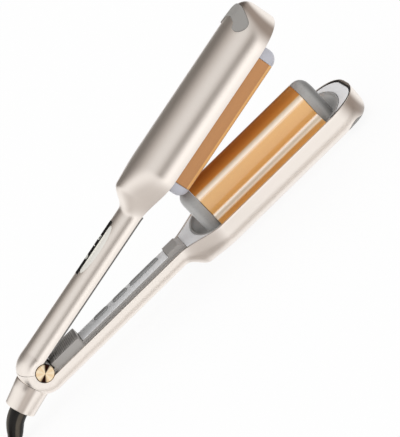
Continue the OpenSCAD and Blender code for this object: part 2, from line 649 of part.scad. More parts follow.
module temperature_rocker() color([0.5, 0.5, 0.49]) at_hinge() translate([rocker_x, 0, 0]) {
    translate([0, 0, panel_top - panel_t]) linear_extrude(panel_t + button_proud) pill(rocker_len, button_w);
    translate([0, 0, trunnion_z - 1]) linear_extrude(panel_top - panel_t - trunnion_z + 1.1)
        pill(rocker_len - 4, button_w - 1.4);
    translate([0, 0, trunnion_z]) along_y(-button_w / 2 - 1.6, button_w / 2 + 1.6) circle(trunnion_r);
    for (s = [-1, 1]) translate([s * 8, 0, actuator_top + button_travel])
        cylinder(r = stem_r, h = trunnion_z - actuator_top - button_travel);
}
module control_board() color([0.1, 0.35, 0.2]) at_hinge()
    translate([panel_x + 3, -panel_half_w + 1.6, board_z])
        cube([panel_len - 6, 2 * panel_half_w - 3.2, board_t]);
module tact_switches() color([0.15, 0.15, 0.15]) at_hinge() for (x = switch_x)
    translate([x, 0, board_z + board_t]) {
        translate([-2.6, -2.6, 0]) cube([5.2, 5.2, switch_h]);
        cylinder(r = 1.5, h = switch_h + actuator_h);
    }
wire_half = 0.8;
wire_y = 5;
lower_wire_z = frame_low - wire_half - 0.6;
module lower_wires() color([0.7, 0.2, 0.15]) at_hinge() both_sides()
    translate([block_x, wire_y, lower_wire_z]) rotate([0, 90, 0]) cylinder(r = wire_half, h = neck_x);

// ---- Upper handle ----
upper_plate_z = upper_rim - 0.5;
module upper_handle_frame() color([0.4, 0.39, 0.38]) at_upper() difference() {
    union() {
        translate([block_x, -handle_half + wall + gap, upper_plate_z])
            cube([neck_x - seam - block_x, handle_w - 2 * wall - 2 * gap, frame_t]);
        both_sides() {
            along_y(spring_room, knuckle_half_w) circle(knuckle_r);
            translate([0, spring_room, upper_plate_z + frame_t - 3.6])
                cube([block_x + 1, knuckle_half_w - spring_room, 3.6]);
        }
    }
    both_sides() along_y(0, handle_half) circle(bush_r + run_fit);
    for (x = upper_screw_x) translate([x, 0, 0]) cylinder(r = screw_r + 0.15, h = upper_back / 2);
}
bush_r = pin_r + 1.1;
module hinge_bushes() color([0.8, 0.7, 0.45]) at_upper() both_sides()
    along_y(spring_room, knuckle_half_w) difference() {
        circle(bush_r);
        circle(pin_r + run_fit);
    }
board_top = upper_back - lens_t - 0.1;
module display_digits() color([0.9, 0.9, 0.85]) at_upper()
    for (i = [-1 : 1]) translate([display_x + i * 8 - 2, -1.6, board_top - 1]) cube([4, 3.2, 1]);
module display_board() color([0.1, 0.35, 0.2]) at_upper()
    translate([display_x - display_len / 2, -4, board_top - 2.2]) cube([display_len, 8, board_t]);
module upper_wires() color([0.7, 0.2, 0.15]) at_upper() both_sides()
    translate([block_x + 3, wire_y, upper_tray_z + tray_t + wire_half + seam])
        rotate([0, 90, 0]) cylinder(r = wire_half, h = neck_x - block_x);
module screw(len) {
    translate([0, 0, -len]) cylinder(r = screw_r, h = len);
    difference() {
        cylinder(r = screw_head_r, h = 1);
        translate([0, 0, 0.5]) cylinder(r = 0.9, h = 1, $fn = 6);
    }
}
upper_screw_x = [30, 60, 116];
upper_screw_len = 6;
module upper_screws() color([0.55, 0.55, 0.57]) at_upper() for (x = upper_screw_x)
    translate([x, 0, upper_plate_z]) mirror([0, 0, 1]) screw(upper_screw_len);
module frame_screws() color([0.55, 0.55, 0.57]) at_hinge() for (x = lower_screw_x)
    translate([x, 0, pocket_floor]) screw(screw_len);

// ---- Hinge ----
spring_coil_r = pin_r + wire_r + 0.35;
pin_end = handle_half - wall - gap - 0.1;
pin_hole_r = 1.6;
pin_hole_depth = 4.5;
module hinge_pin() color([0.6, 0.6, 0.62]) at_hinge() difference() {
    along_y(-pin_end, pin_end) circle(pin_r);
    both_sides() along_y(pin_end - pin_hole_depth, pin_end + 1) circle(pin_hole_r);
}
cap_out = handle_half + 0.7;
module hinge_caps() color([0.95, 0.8, 0.58]) at_hinge() both_sides() {
    along_y(cap_out - hinge_cap_t, cap_out - 0.4) circle(hinge_cap_r);
    along_y(cap_out - 1, cap_out) circle(hinge_cap_r - 0.4);
    along_y(pin_end - pin_hole_depth + gap, cap_out - 1) circle(pin_hole_r - run_fit);
}
module torsion_spring() color([0.65, 0.65, 0.67]) at_hinge() {
    pitch = 1.7 * wire_r;
    side = (spring_turns - 1) / 2 * pitch;
    rotate([90, 0, 0]) rotate_extrude() for (i = [0 : spring_turns - 1])
        translate([spring_coil_r, i * pitch - side]) circle(wire_r, $fn = 24);
    translate([0, -side, -spring_coil_r]) rotate([0, 90, 0]) cylinder(r = wire_r * 0.9, h = block_x + 4);
    rotate([0, -open_angle, 0]) translate([0, side, spring_coil_r])
        rotate([0, 90, 0]) cylinder(r = wire_r * 0.9, h = block_x + 4);
}

// ---- Cord outlet ----
outlet_end = collar_x + collar_len;
module swivel_collar() color([0.84, 0.79, 0.75]) at_outlet() rotate_extrude() polygon([
    [swivel_r, collar_x - 4.5], [collar_bore_r - 0.1, collar_x - 4.5], [collar_bore_r - 0.1, collar_x],
    [collar_r - 0.4, collar_x], [collar_r, collar_x + 0.4], [collar_end_r, outlet_end - 0.6],
    [collar_end_r - 0.6, outlet_end], [swivel_r + 2.1, outlet_end],
    [swivel_r + 2.1, outlet_end - 2], [swivel_r, outlet_end - 2]]);
ferrule_r = swivel_r - run_fit;
groove_r = ferrule_r - 0.45;
module swivel_ferrule() color([0.12, 0.11, 0.1]) at_outlet() rotate_extrude() polygon([
    [boot_root_r + gap, collar_x - 6.3], [ferrule_r, collar_x - 6.3], [ferrule_r, collar_x - 5.8],
    [groove_r, collar_x - 5.8], [groove_r, collar_x - 4.7], [ferrule_r, collar_x - 4.7],
    [ferrule_r, outlet_end - 1.9], [swivel_r + 1.95, outlet_end - 1.9],
    [swivel_r + 1.95, outlet_end - 0.3], [boot_root_r + gap, outlet_end - 0.3]]);
module swivel_clip() color([0.6, 0.6, 0.62]) at_outlet()
    translate([0, 0, collar_x - 5.75]) difference() {
        cylinder(r = swivel_r + 1, h = 1);
        translate([0, 0, -1]) cylinder(r = groove_r + 0.05, h = 3);
        translate([0, -1.5, -1]) cube([20, 3, 3]);
    }

// A tube of varying radius swept along points [x, y, z, r]
function unit(v) = v / norm(v);
function tangent(p, i) = let (a = p[max(0, i - 1)], b = p[min(len(p) - 1, i + 1)])
    unit([b[0] - a[0], b[1] - a[1], b[2] - a[2]]);
module tube(p, sides) {
    n = len(p);
    points = [for (i = [0 : n - 1]) let (t = tangent(p, i), u = unit(cross([0, 0, 1], t)), v = cross(t, u))
        [for (k = [0 : sides - 1]) let (a = 360 * (k + 0.5) / sides, r = p[i][3])
            [p[i][0], p[i][1], p[i][2]] + r * (cos(a) * u + sin(a) * v)]];
    loft(points);
}
// The strain relief beyond the collar, about the hinge axis: [x, y, z, radius]
boot_path = [
    [-31.4, 0, -10.9, 6.6], [-35.6, 0, -12.5, 6.5], [-39.8, 0, -15, 6.3], [-43.5, 0, -18.5, 6],
    [-46.8, 0, -22, 5.4], [-50.6, 0, -24.4, 4.5], [-55.4, 0, -25.4, 3.6], [-61, 0, -25.9, 3.1]
];
module strain_relief() color([0.14, 0.12, 0.11]) {
    at_hinge() tube(boot_path, 16);
    at_outlet() translate([0, 0, collar_x - 5]) cylinder(r = boot_root_r, h = collar_len + 5.6);
}
// The cord's route where it isn't coiled, on the floor, about the hinge axis: [x, y, height]
lead_route = [
    [-61.1, 0, 3.2], [-64, 0, 2.95], [-72, -1.5, 3], [-78, -4.5, 3], [-84, -9, 3], [-90, -14.5, 3],
    [-96, -21.5, 3], [-102, -29, 3], [-108, -36, 3], [-114, -41, 3], [-120, -43.8, 3],
    [-126, -44.8, 3], [-132, -44.95, 3], [-138, -44.85, 3]
];
tail_route = [
    [-149.3, 31, 19.6], [-140.9, 32.9, 19.6], [-132.3, 32.5, 19.6], [-124.1, 29.9, 19.8],
    [-116.8, 25.3, 20.4], [-112, 20.3, 21.2], [-108.3, 14.5, 22.3], [-106, 8, 23.2],
    [-105, 4, 23.7], [-105, 0.1, 23.75]
];
coil_x = -138;
module cord_tube(route) at_hinge() tube([for (p = route) [p[0], p[1], p[2] + floor_z, cord_r]], 8);
module cord_lead() color([0.14, 0.12, 0.11]) cord_tube(lead_route);
module cord_tail() color([0.14, 0.12, 0.11]) cord_tube(tail_route);
coil_w = 2 * cord_r * coil_columns;
coil_h = 2 * cord_r * coil_rows;
module cord_coil() color([0.14, 0.12, 0.11]) at_hinge() translate([coil_x, 0, floor_z])
    rotate_extrude() translate([coil_r, coil_h / 2]) square([coil_w, coil_h - 2 * tie_t], center = true);
module cord_tie() color([0.1, 0.1, 0.1]) at_hinge() translate([coil_x - coil_r, 0, floor_z])
    rotate([90, 0, 0]) translate([0, 0, -tie_w / 2]) linear_extrude(tie_w) difference() {
        translate([-coil_w / 2 - 2 * tie_t, 0]) square([coil_w + 4 * tie_t, coil_h]);
        translate([-coil_w / 2 - tie_t, tie_t - 0.01]) square([coil_w + 2 * tie_t, coil_h - 2 * tie_t + 0.02]);
    }
// The plug lies on the coil's top, along its middle turn
plug_x = coil_x + coil_r;
plug_z = floor_z + coil_h - tie_t + 0.1 + plug_t / 2;
module plug_section(w, t) {
    hull() for (s = [-1, 1]) translate([s * (w - t) / 2, 0]) circle(d = t, $fn = 32);
}
module plug_body() color([0.14, 0.12, 0.11]) at_hinge()
    translate([plug_x, 0, plug_z]) rotate([90, 0, 0]) {
        hull() {
            linear_extrude(0.1) plug_section(cord_r * 4, cord_r * 3);
            translate([0, 0, 16]) linear_extrude(0.1) plug_section(plug_w * 0.8, plug_t);
            translate([0, 0, plug_len - 8]) linear_extrude(8) plug_section(plug_w, plug_t);
        }
    }
module plug_pins() color([0.85, 0.75, 0.45]) at_hinge()
    translate([plug_x, -plug_len, plug_z]) rotate([90, 0, 0])
        for (s = [-1, 1]) translate([s * plug_pin_pitch / 2, 0, 0]) {
            cylinder(r = plug_pin_r, h = plug_pin_len - 1);
            translate([0, 0, plug_pin_len - 1]) cylinder(r1 = plug_pin_r, r2 = plug_pin_r - 0.8, h = 1);
        }

lower_casing();
lower_tip_insert();
lower_tray_rear();
lower_tray_tip();
lower_heating_plate();
lower_end_cap_rear();
lower_end_cap_tip();
lower_heater();
lower_heater_clamp();
thermal_fuse();
lower_handle_frame();
control_panel();
control_board();
tact_switches();
lower_wires();
frame_screws();
hinge_pin();
hinge_caps();
torsion_spring();
swivel_collar();
strain_relief();
cord_lead();
cord_coil();
cord_tail();
cord_tie();
plug_body();
plug_pins();
swivel_ferrule();
swivel_clip();
power_button();
mode_button();
temperature_rocker();
upper_casing();
upper_tip_insert();
upper_tray_rear();
upper_tray_tip();
upper_heating_plate();
upper_end_cap_rear();
upper_end_cap_tip();
upper_heaters();
upper_heater_clamps();
upper_thermistor();
upper_handle_frame();
hinge_bushes();
display_lens();
display_board();
display_digits();
upper_wires();
upper_screws();
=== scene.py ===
import json
import math

import bmesh
import bpy
import numpy as np
from mathutils import Matrix, Vector

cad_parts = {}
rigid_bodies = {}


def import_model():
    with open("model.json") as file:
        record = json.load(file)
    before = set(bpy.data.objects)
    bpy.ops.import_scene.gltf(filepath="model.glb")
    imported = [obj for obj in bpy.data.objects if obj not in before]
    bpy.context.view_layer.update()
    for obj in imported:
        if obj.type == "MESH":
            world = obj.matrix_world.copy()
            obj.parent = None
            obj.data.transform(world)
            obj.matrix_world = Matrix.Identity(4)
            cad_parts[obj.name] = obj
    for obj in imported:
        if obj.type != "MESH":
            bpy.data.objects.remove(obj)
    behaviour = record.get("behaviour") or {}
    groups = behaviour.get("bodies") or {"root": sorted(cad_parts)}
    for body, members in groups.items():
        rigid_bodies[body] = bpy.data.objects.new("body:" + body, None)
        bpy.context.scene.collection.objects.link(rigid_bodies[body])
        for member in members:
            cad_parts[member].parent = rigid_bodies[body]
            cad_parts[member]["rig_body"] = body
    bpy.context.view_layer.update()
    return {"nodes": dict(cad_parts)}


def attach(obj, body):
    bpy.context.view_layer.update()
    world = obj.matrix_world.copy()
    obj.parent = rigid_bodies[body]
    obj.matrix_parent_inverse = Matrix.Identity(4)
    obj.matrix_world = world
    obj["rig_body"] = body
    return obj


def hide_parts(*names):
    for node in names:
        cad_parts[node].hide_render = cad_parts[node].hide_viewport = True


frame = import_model()
nodes = frame["nodes"]

# ---- Camera ----
# It looks at the side of the tool from a little above, and is rolled so that the arms point up to
# the right. All places below are in millimetres from the hinge axis, with the arms closed.
HINGE = Vector((-0.210, 0, 0.0291))
CAMERA_RISE = math.radians(19.9)
CAMERA_ROLL = math.radians(44.3)
CAMERA_DISTANCE = 1.35
VIEW_HEIGHT = 0.3015
sight = Vector((0, math.cos(CAMERA_RISE), -math.sin(CAMERA_RISE)))
above = Vector((0, math.sin(CAMERA_RISE), math.cos(CAMERA_RISE)))
right = math.cos(CAMERA_ROLL) * Vector((1, 0, 0)) - math.sin(CAMERA_ROLL) * above
up = math.sin(CAMERA_ROLL) * Vector((1, 0, 0)) + math.cos(CAMERA_ROLL) * above
aim = HINGE + Vector((0.1495, 0, -0.0032))
eye = aim - sight * CAMERA_DISTANCE
camera = bpy.data.objects.new("camera", bpy.data.cameras.new("camera"))
bpy.context.scene.collection.objects.link(camera)
camera.matrix_world = Matrix(
    [[right[i], up[i], -sight[i], eye[i]] for i in range(3)] + [[0, 0, 0, 1]]
)
camera.data.lens = camera.data.sensor_width * CAMERA_DISTANCE / VIEW_HEIGHT
bpy.context.scene.camera = camera


# ---- Cord ----
# Round two-core mains cord, 6 mm thick, in satin black PVC. It leaves the strain relief, lies on
# the table, is wound up in a tied coil and ends in its moulded plug.
class Shade:
    """A socket of a material. Operators on it add the Math nodes that they need."""

    def __init__(self, finish, socket):
        self.finish, self.socket = finish, socket

    def math(self, operation, *values):
        return self.finish.node("Math", dict(enumerate(values)), operation=operation)

    def __add__(self, other):
        return self.math("ADD", self, other)

    __radd__ = __add__

    def __mul__(self, other):
        return self.math("MULTIPLY", self, other)

    __rmul__ = __mul__

    def __sub__(self, other):
        return self.math("SUBTRACT", self, other)

    def __rsub__(self, other):
        return self.math("SUBTRACT", other, self)

    def __pow__(self, other):
        return self.math("POWER", self, other)


class Finish:
    """A material: sockets that are the same all over, and nodes for what varies."""

    def __init__(self, name, **fixed):
        self.material = bpy.data.materials.new(name)
        self.material.use_nodes = True
        self.tree = self.material.node_tree
        self.surface = self.tree.nodes["Principled BSDF"]
        for socket, value in fixed.items():
            self.surface.inputs[socket.replace("_", " ")].default_value = value

    def connect(self, socket, value):
        if isinstance(value, Shade):
            self.tree.links.new(value.socket, socket)
        else:
            socket.default_value = value

    def node(self, kind, values=(), out=0, stops=(), **settings):
        made = self.tree.nodes.new("ShaderNode" + kind)
        for name, value in settings.items():
            setattr(made, name, value)
        if stops:
            ramp = made.color_ramp.elements
            while len(ramp) < len(stops):
                ramp.new(0.5)
            for element, (place, colour) in zip(ramp, stops):
                element.position, element.color = place, colour
        for name, value in dict(values).items():
            self.connect(made.inputs[name], value)
        return Shade(self, made.outputs[out])

    def place(self, scale=(1, 1, 1)):
        """Object coordinates, stretched."""
        at = self.node("TexCoord", out="Object")
        return self.node("Mapping", {"Vector": at, "Scale": scale})

    def noise(self, size, stretch=(1, 1, 1), detail=3):
        """Noise from 0 to 1 whose grains are about that many millimetres across."""
        at = self.place(stretch)
        return self.node("TexNoise", {"Vector": at, "Scale": 1000 / size, "Detail": detail})

    def blend(self, factor, first, second):
        return self.node(
            "Mix", {0: factor, 6: first, 7: second}, out=2, data_type="RGBA", clamp_factor=True
        )

    def rise(self, value, start, end, low=0, high=1):
        """A soft step from low to high as the value goes from start to end."""
        return self.node("MapRange", {"Value": value, 1: start, 2: end, 3: low, 4: high},
                         interpolation_type="SMOOTHSTEP")

    def unsigned(self, value):
        return self.node("Math", {0: value}, operation="ABSOLUTE")

    def axes(self, output):
        """The three coordinates of an output of Texture Coordinate."""
        split = self.node("SeparateXYZ", {0: self.node("TexCoord", out=output)})
        return [Shade(self, axis) for axis in split.socket.node.outputs]

    def along_arm(self, output, turn=0):
        """Coordinates along, across and above an arm that is turned about the hinge's axis."""
        x, across, z = self.axes(output)
        c, s = math.cos(turn), math.sin(turn)
        return x * c + z * s, across, z * c - x * s

    def from_hinge(self, turn=0):
        """The place on an arm, in metres along, across and above the hinge's axis."""
        along, across, above = self.along_arm("Object", turn)
        c, s = math.cos(turn), math.sin(turn)
        return along - (HINGE.x * c + HINGE.z * s), across, above - (HINGE.z * c - HINGE.x * s)

    def grain(self, height, depth, strength=0.3):
        """A fine relief of that depth in millimetres."""
        self.feed(Normal=self.node("Bump", {
            "Height": height, "Distance": depth / 1000, "Strength": strength}))

    def feed(self, **sockets):
        for socket, value in sockets.items():
            self.connect(self.surface.inputs[socket.replace("_", " ")], value)


def paint(red, green, blue):
    """A colour as a screen shows it, from 0 to 255."""
    return tuple(((c / 255 + 0.055) / 1.055) ** 2.4 if c > 10 else c / 3295
                 for c in (red, green, blue)) + (1,)


def wear(piece, finish):
    piece.data.materials.clear()
    piece.data.materials.append(finish.material)


black_pvc = Finish("black_pvc", Roughness=0.42, Specular_IOR_Level=0.45)
fleck = black_pvc.noise(1.5)
black_pvc.feed(Base_Color=black_pvc.blend(fleck, paint(16, 13, 11), paint(28, 24, 21)),
               Roughness=0.36 + 0.16 * fleck)
black_pvc.grain(black_pvc.noise(0.4), 0.04)

CORD_R = 3
COIL_X = -138
FLOOR = -29.1
LEAD = [
    (-61.1, 0, 3.2), (-64, 0, 2.95), (-72, -1.5, 3), (-78, -4.5, 3), (-84, -9, 3), (-90, -14.5, 3),
    (-96, -21.5, 3), (-102, -29, 3), (-108, -36, 3), (-114, -41, 3), (-120, -43.8, 3),
    (-126, -44.8, 3), (-132, -44.95, 3), (-138, -44.85, 3),
]
TAIL = [
    (-149.3, 31, 19.6), (-140.9, 32.9, 19.6), (-132.3, 32.5, 19.6), (-124.1, 29.9, 19.8),
    (-116.8, 25.3, 20.4), (-112, 20.3, 21.2), (-108.3, 14.5, 22.3), (-106, 8, 23.2),
    (-105, 4, 23.7), (-105, 0.1, 23.75),
]
# Middle of each turn, as distance from the coil's axis and height, and the turn numbers between
# which the cord crosses over to the next.
TURNS = [
    (44.85, 3, 0, 0.23), (39, 3, 1, 1.23), (33, 3, 2, 2.23), (27, 3, 2.86, 3.08),
    (30, 8.45, 3.86, 4.08), (36, 8.45, 4.86, 5.08), (39, 13.85, 5.76, 5.98),
    (33, 13.85, 6.8, 7.03), (27, 13.85, 7.86, 8.08), (27, 19.6, 8.12, 8.44), (33, 19.6, 9, 9),
]
WOUND = 8 + 160 / 360


def coil_points():
    """The wound part, clockwise: it keeps to a turn's place and then eases over to the next."""
    points = []
    steps = 400
    for i in range(steps):
        turn = WOUND * i / steps
        r, height = TURNS[0][:2]
        for (r0, h0, start, end), (r1, h1, _, _) in zip(TURNS, TURNS[1:]):
            t = min(1, max(0, (turn - start) / (end - start)))
            t = t * t * (3 - 2 * t)
            r += (r1 - r0) * t
            height += (h1 - h0) * t
        a = math.radians(-90 - 360 * turn)
        points.append((COIL_X + r * math.cos(a), r * math.sin(a), height))
    return points


def on_floor(point):
    x, y, height = point
    return HINGE + Vector((x, y, FLOOR + height)) / 1000


route = [on_floor(p) for p in LEAD[:-1] + coil_points() + TAIL]
cord_line = bpy.data.curves.new("cord", "CURVE")
cord_line.dimensions = "3D"
cord_line.bevel_depth = CORD_R / 1000
cord_line.bevel_resolution = 6
cord_line.use_fill_caps = True
strand = cord_line.splines.new("POLY")
strand.points.add(len(route) - 1)
for point, at in zip(strand.points, route):
    point.co = (*at, 1)
strand.use_smooth = True
cord = bpy.data.objects.new("cord", cord_line)
bpy.context.scene.collection.objects.link(cord)
wear(cord, black_pvc)
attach(cord, "lower_arm")
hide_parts("cord_lead", "cord_coil", "cord_tail")


# ---- Plug, tie and strain relief ----
# What sits on the cord: the two-pin plug that is moulded in one with its end, with brass pins, the
# black strap round the stored coil, and the soft PVC strain relief that enters the swivel.
def new_piece(name, points, faces):
    mesh = bpy.data.meshes.new(name)
    mesh.from_pydata([tuple(p) for p in points], [], faces)
    form = bmesh.new()
    form.from_mesh(mesh)
    bmesh.ops.remove_doubles(form, verts=form.verts, dist=2e-6)
    bmesh.ops.dissolve_degenerate(form, edges=form.edges, dist=1e-7)
    bmesh.ops.recalc_face_normals(form, faces=form.faces)
    form.to_mesh(mesh)
    form.free()
    piece = bpy.data.objects.new(name, mesh)
    bpy.context.scene.collection.objects.link(piece)
    return piece


def smooth(piece, angle=32):
    """Soft shading, with sharp edges where the faces meet at more than that angle."""
    piece.data.shade_smooth()
    form = bmesh.new()
    form.from_mesh(piece.data)
    for edge in form.edges:
        sharp = len(edge.link_faces) != 2 or edge.calc_face_angle(0) > math.radians(angle)
        edge.smooth = not sharp
    form.to_mesh(piece.data)
    form.free()


def settle(piece):
    """Turns the piece with its modifiers into a plain mesh."""
    graph = bpy.context.evaluated_depsgraph_get()
    mesh = bpy.data.meshes.new_from_object(piece.evaluated_get(graph))
    piece.modifiers.clear()
    piece.data = mesh


def carve(piece, tool, operation="DIFFERENCE"):
    """Cuts the piece with a tool, whose own finish stays on the faces that it leaves."""
    step = piece.modifiers.new("carve", "BOOLEAN")
    step.object, step.operation, step.solver = tool, operation, "EXACT"
    step.material_mode = "TRANSFER"
    settle(piece)
    bpy.data.objects.remove(tool)


def eased(node, name, edge, angle=28):
    """A copy of a node's solid, its loose triangles joined and its edges rounded over."""
    mesh = nodes[node].data.copy()
    form = bmesh.new()
    form.from_mesh(mesh)
    bmesh.ops.remove_doubles(form, verts=form.verts, dist=2e-6)
    bmesh.ops.dissolve_limit(form, angle_limit=math.radians(1.5), verts=form.verts, edges=form.edges)
    form.to_mesh(mesh)
    form.free()
    piece = bpy.data.objects.new(name, mesh)
    bpy.context.scene.collection.objects.link(piece)
    step = piece.modifiers.new("edge", "BEVEL")
    step.width, step.segments = edge / 1000, 3
    step.limit_method, step.angle_limit = "ANGLE", math.radians(angle)
    settle(piece)
    smooth(piece)
    return piece


def fit(piece, finish, slot, *stands_for, body=None):
    """Gives a piece its finish, if it has none yet, its nodes and their body; the slot is not used."""
    if finish:
        wear(piece, finish)
    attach(piece, body or nodes[stands_for[0]]["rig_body"])
    if stands_for:
        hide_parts(*stands_for)


def dress(node, name, edge, finish, slot, angle=28):
    """The piece that a node's own solid makes, with its edges eased."""
    piece = eased(node, name, edge, angle)
    fit(piece, finish, slot, node)
    return piece


def speckled(name, dark, light, size, rough, relief=0.02, **fixed):
    """A moulded or cast surface: two close colours in fine grains, with a slight relief."""
    finish = Finish(name, **fixed)
    grains = finish.noise(size)
    clouds = finish.noise(size * 18, detail=1)
    finish.feed(Base_Color=finish.blend(0.6 * grains + 0.4 * clouds, paint(*dark), paint(*light)),
                Roughness=rough[0] + (rough[1] - rough[0]) * grains)
    finish.grain(grains, relief)
    return finish


def spline(points, steps=6):
    """A smooth line through points, which may carry a radius as a fourth number."""
    p = np.array(points, float)
    p = np.vstack([2 * p[0] - p[1], p, 2 * p[-1] - p[-2]])
    line = []
    for a, b, c, d in zip(p, p[1:], p[2:], p[3:]):
        for t in np.arange(steps) / steps:
            line.append(0.5 * (2 * b + (c - a) * t + (2 * a - 5 * b + 4 * c - d) * t**2
                               + (3 * b - a - 3 * c + d) * t**3))
    return line + [p[-2]]


def rings(count, around, closed=False):
    """Faces between rings of points that follow each other, and back to the first if closed."""
    return [(k * around + i, k * around + (i + 1) % around,
             (k + 1) % count * around + (i + 1) % around, (k + 1) % count * around + i)
            for k in range(count if closed else count - 1) for i in range(around)]


def tube(count, around, first=0):
    """Faces of a solid made of rings, with both ends filled, counted from its first point."""
    last = (count - 1) * around
    ends = [tuple(range(around)), tuple(range(last + around - 1, last - 1, -1))]
    return [tuple(first + corner for corner in face) for face in ends + rings(count, around)]


def sleeve(name, line, sides=40):
    """A closed tube in the plane of the arms, along points that carry their radius."""
    centre = [Vector(p[:3]) for p in line]
    points = []
    for i, p in enumerate(line):
        along = (centre[min(i + 1, len(line) - 1)] - centre[max(i - 1, 0)]).normalized()
        across = Vector((0, 1, 0))
        for k in range(sides):
            a = 2 * math.pi * k / sides
            rim = math.cos(a) * across + math.sin(a) * along.cross(across)
            points.append(centre[i] + float(p[3]) * rim)
    return new_piece(name, [HINGE + p / 1000 for p in points], tube(len(line), sides))


plug = dress("plug_body", "plug", 1.6, black_pvc, "boot_black", angle=40)
brass = speckled("pin_brass", (196, 160, 92), (222, 190, 122), 0.8, (0.2, 0.32), 0.004, Metallic=1)
pins = dress("plug_pins", "plug_blades", 0.2, brass, "pin_brass")

strap_weave = Finish("strap_weave", Specular_IOR_Level=0.3)
thread = strap_weave.node("TexWave", {"Vector": strap_weave.place(), "Scale": 900, "Distortion": 1},
                          bands_direction="Z")
strap_weave.feed(Base_Color=strap_weave.blend(thread, paint(22, 21, 21), paint(42, 40, 39)),
                 Roughness=0.8 + 0.15 * thread)
strap_weave.grain(thread, 0.08)
tie = dress("cord_tie", "coil_strap", 0.5, strap_weave, "cord_black")

BOOT = [
    (-31.4, 0, -10.9, 6.6), (-35.6, 0, -12.5, 6.5), (-39.8, 0, -15, 6.3), (-43.5, 0, -18.5, 6),
    (-46.8, 0, -22, 5.4), (-50.6, 0, -24.4, 4.5), (-55.4, 0, -25.4, 3.6), (-61, 0, -25.9, 3.1),
]
BOOT_ROOT = [(-8.3, 0, -2.9, 5.6), (-20, 0, -6.9, 5.6), (-31, 0, -10.74, 5.6)]
BOOT_LEAN = math.radians(-45)
boot_pvc = Finish("boot_pvc", Specular_IOR_Level=0.25)
grains = boot_pvc.noise(1.2)
# Painted highlights: paler streaks down the strain relief where its surface faces certain ways across
# the arm.
side_on = boot_pvc.along_arm("Normal", BOOT_LEAN)[0]
painted_highlight = boot_pvc.rise(side_on, -0.2, 0) * boot_pvc.rise(side_on, 0.55, 0.25)
painted_highlight = painted_highlight + 0.7 * boot_pvc.rise(side_on, -0.75, -0.95)
dull = boot_pvc.blend(grains, paint(13, 10, 8), paint(26, 22, 19))
boot_pvc.feed(Base_Color=boot_pvc.blend(painted_highlight, dull, paint(88, 80, 70)),
              Roughness=0.32 + 0.12 * grains)
boot = sleeve("boot", [np.array(p) for p in BOOT_ROOT] + spline(BOOT))
smooth(boot)
fit(boot, boot_pvc, "boot_black", "strain_relief")

# ---- Casings ----
# Two moulded plastic shells, barrel and handle in one, with a satin champagne lacquer. The back
# part of each sweeps round the hinge, the rims are rounded, and the upper one is scooped for the
# display. Grey finger rests are set in the tips.
ARM = 287.7
HALF_CASING, HALF_HANDLE = 32.3, 14.7
CASING_H = 23.2
WALL = 2
RIM_R, RIM_MIDDLE = 0.5, 0.15
NECK_X, NECK_FLARE = 122, 36
SPINE_START, SPINE_END = 119.5, 136
TIP_ROUND, TIP_DROP = 31.7, 11.7
ROUND_X, DROP_X = ARM - TIP_ROUND, ARM - TIP_DROP
TIP_WALL = 0.6
PLAN_POWER, SECTION_POWER = 2.5, 2.2
HOLE_R, BACK_R = 6.8, 17.8
OPEN = math.radians(12.4)
LOWER = {"rim": 5.9, "handle": 13.1, "sweep": 123, "flat": 1, "up": -1, "turn": 0}
UPPER = {"rim": 4.8, "handle": 11.9, "sweep": 43.4, "flat": 0, "up": 1, "turn": OPEN}


def ease(a, b, x):
    """From 0 to 1 in an even curve as x goes from a to b."""
    t = np.clip((x - a) / (b - a), 0, 1)
    return t * t * (3 - 2 * t)


def swell(a, b, x):
    """Like ease, with a gentler start and end."""
    t = np.clip((x - a) / (b - a), 0, 1)
    return t**3 * (10 - 15 * t + 6 * t * t)


def round_off(t, power):
    return np.maximum(0, 1 - np.clip(t, 0, 1) ** power) ** (1 / power)


def half_width(x, inset=0):
    width = HALF_HANDLE - inset + (HALF_CASING - HALF_HANDLE) * ease(NECK_X, NECK_X + NECK_FLARE, x)
    return width * round_off((x - ROUND_X) / TIP_ROUND, PLAN_POWER)


def shell_point(arm, sweep, x, side, level, inset, sunk):
    """A point of a casing's skin: level is 0 at the rim and 1 at the spine."""
    a = math.pi / 2 * level
    if x > ROUND_X:
        x = ROUND_X + (x - ROUND_X) * (TIP_ROUND - inset) / TIP_ROUND
    if sweep > 0:
        top = HOLE_R
        low = arm["rim"] + arm["handle"] - inset
        low += (BACK_R - arm["rim"] - arm["handle"]) * ease(0, arm["sweep"], sweep)
    else:
        top = max(arm["rim"], math.sqrt(max(0, HOLE_R**2 - x * x)))
        depth = arm["handle"] - inset
        depth += (CASING_H - arm["handle"]) * swell(SPINE_START, SPINE_END, x)
        drop_off = round_off((x - DROP_X) / TIP_DROP, SECTION_POWER)
        low = arm["rim"] + depth * (TIP_WALL + (1 - TIP_WALL) * drop_off)
    flat = arm["flat"] * swell(SPINE_START, SPINE_END, x) * (x < ARM - 0.1)
    drop = min(low - top, (low - top + flat) * math.sin(a) ** (2 / SECTION_POWER))
    y = side * half_width(x, inset) * max(0, math.cos(a)) ** (2 / SECTION_POWER)
    r = top + drop + sunk
    if sweep > 0:
        s = math.radians(sweep)
        return (-r * math.sin(s), y, -r * math.cos(s))
    return (x, y, -r)


def placed(point, arm=LOWER):
    """From millimetres about the hinge to the frame's metres. The upper arm is drawn upside down."""
    x, y, z = point
    z *= -arm["up"]
    c, s = math.cos(arm["turn"]), math.sin(arm["turn"])
    return HINGE + Vector((x * c - z * s, y, x * s + z * c)) / 1000


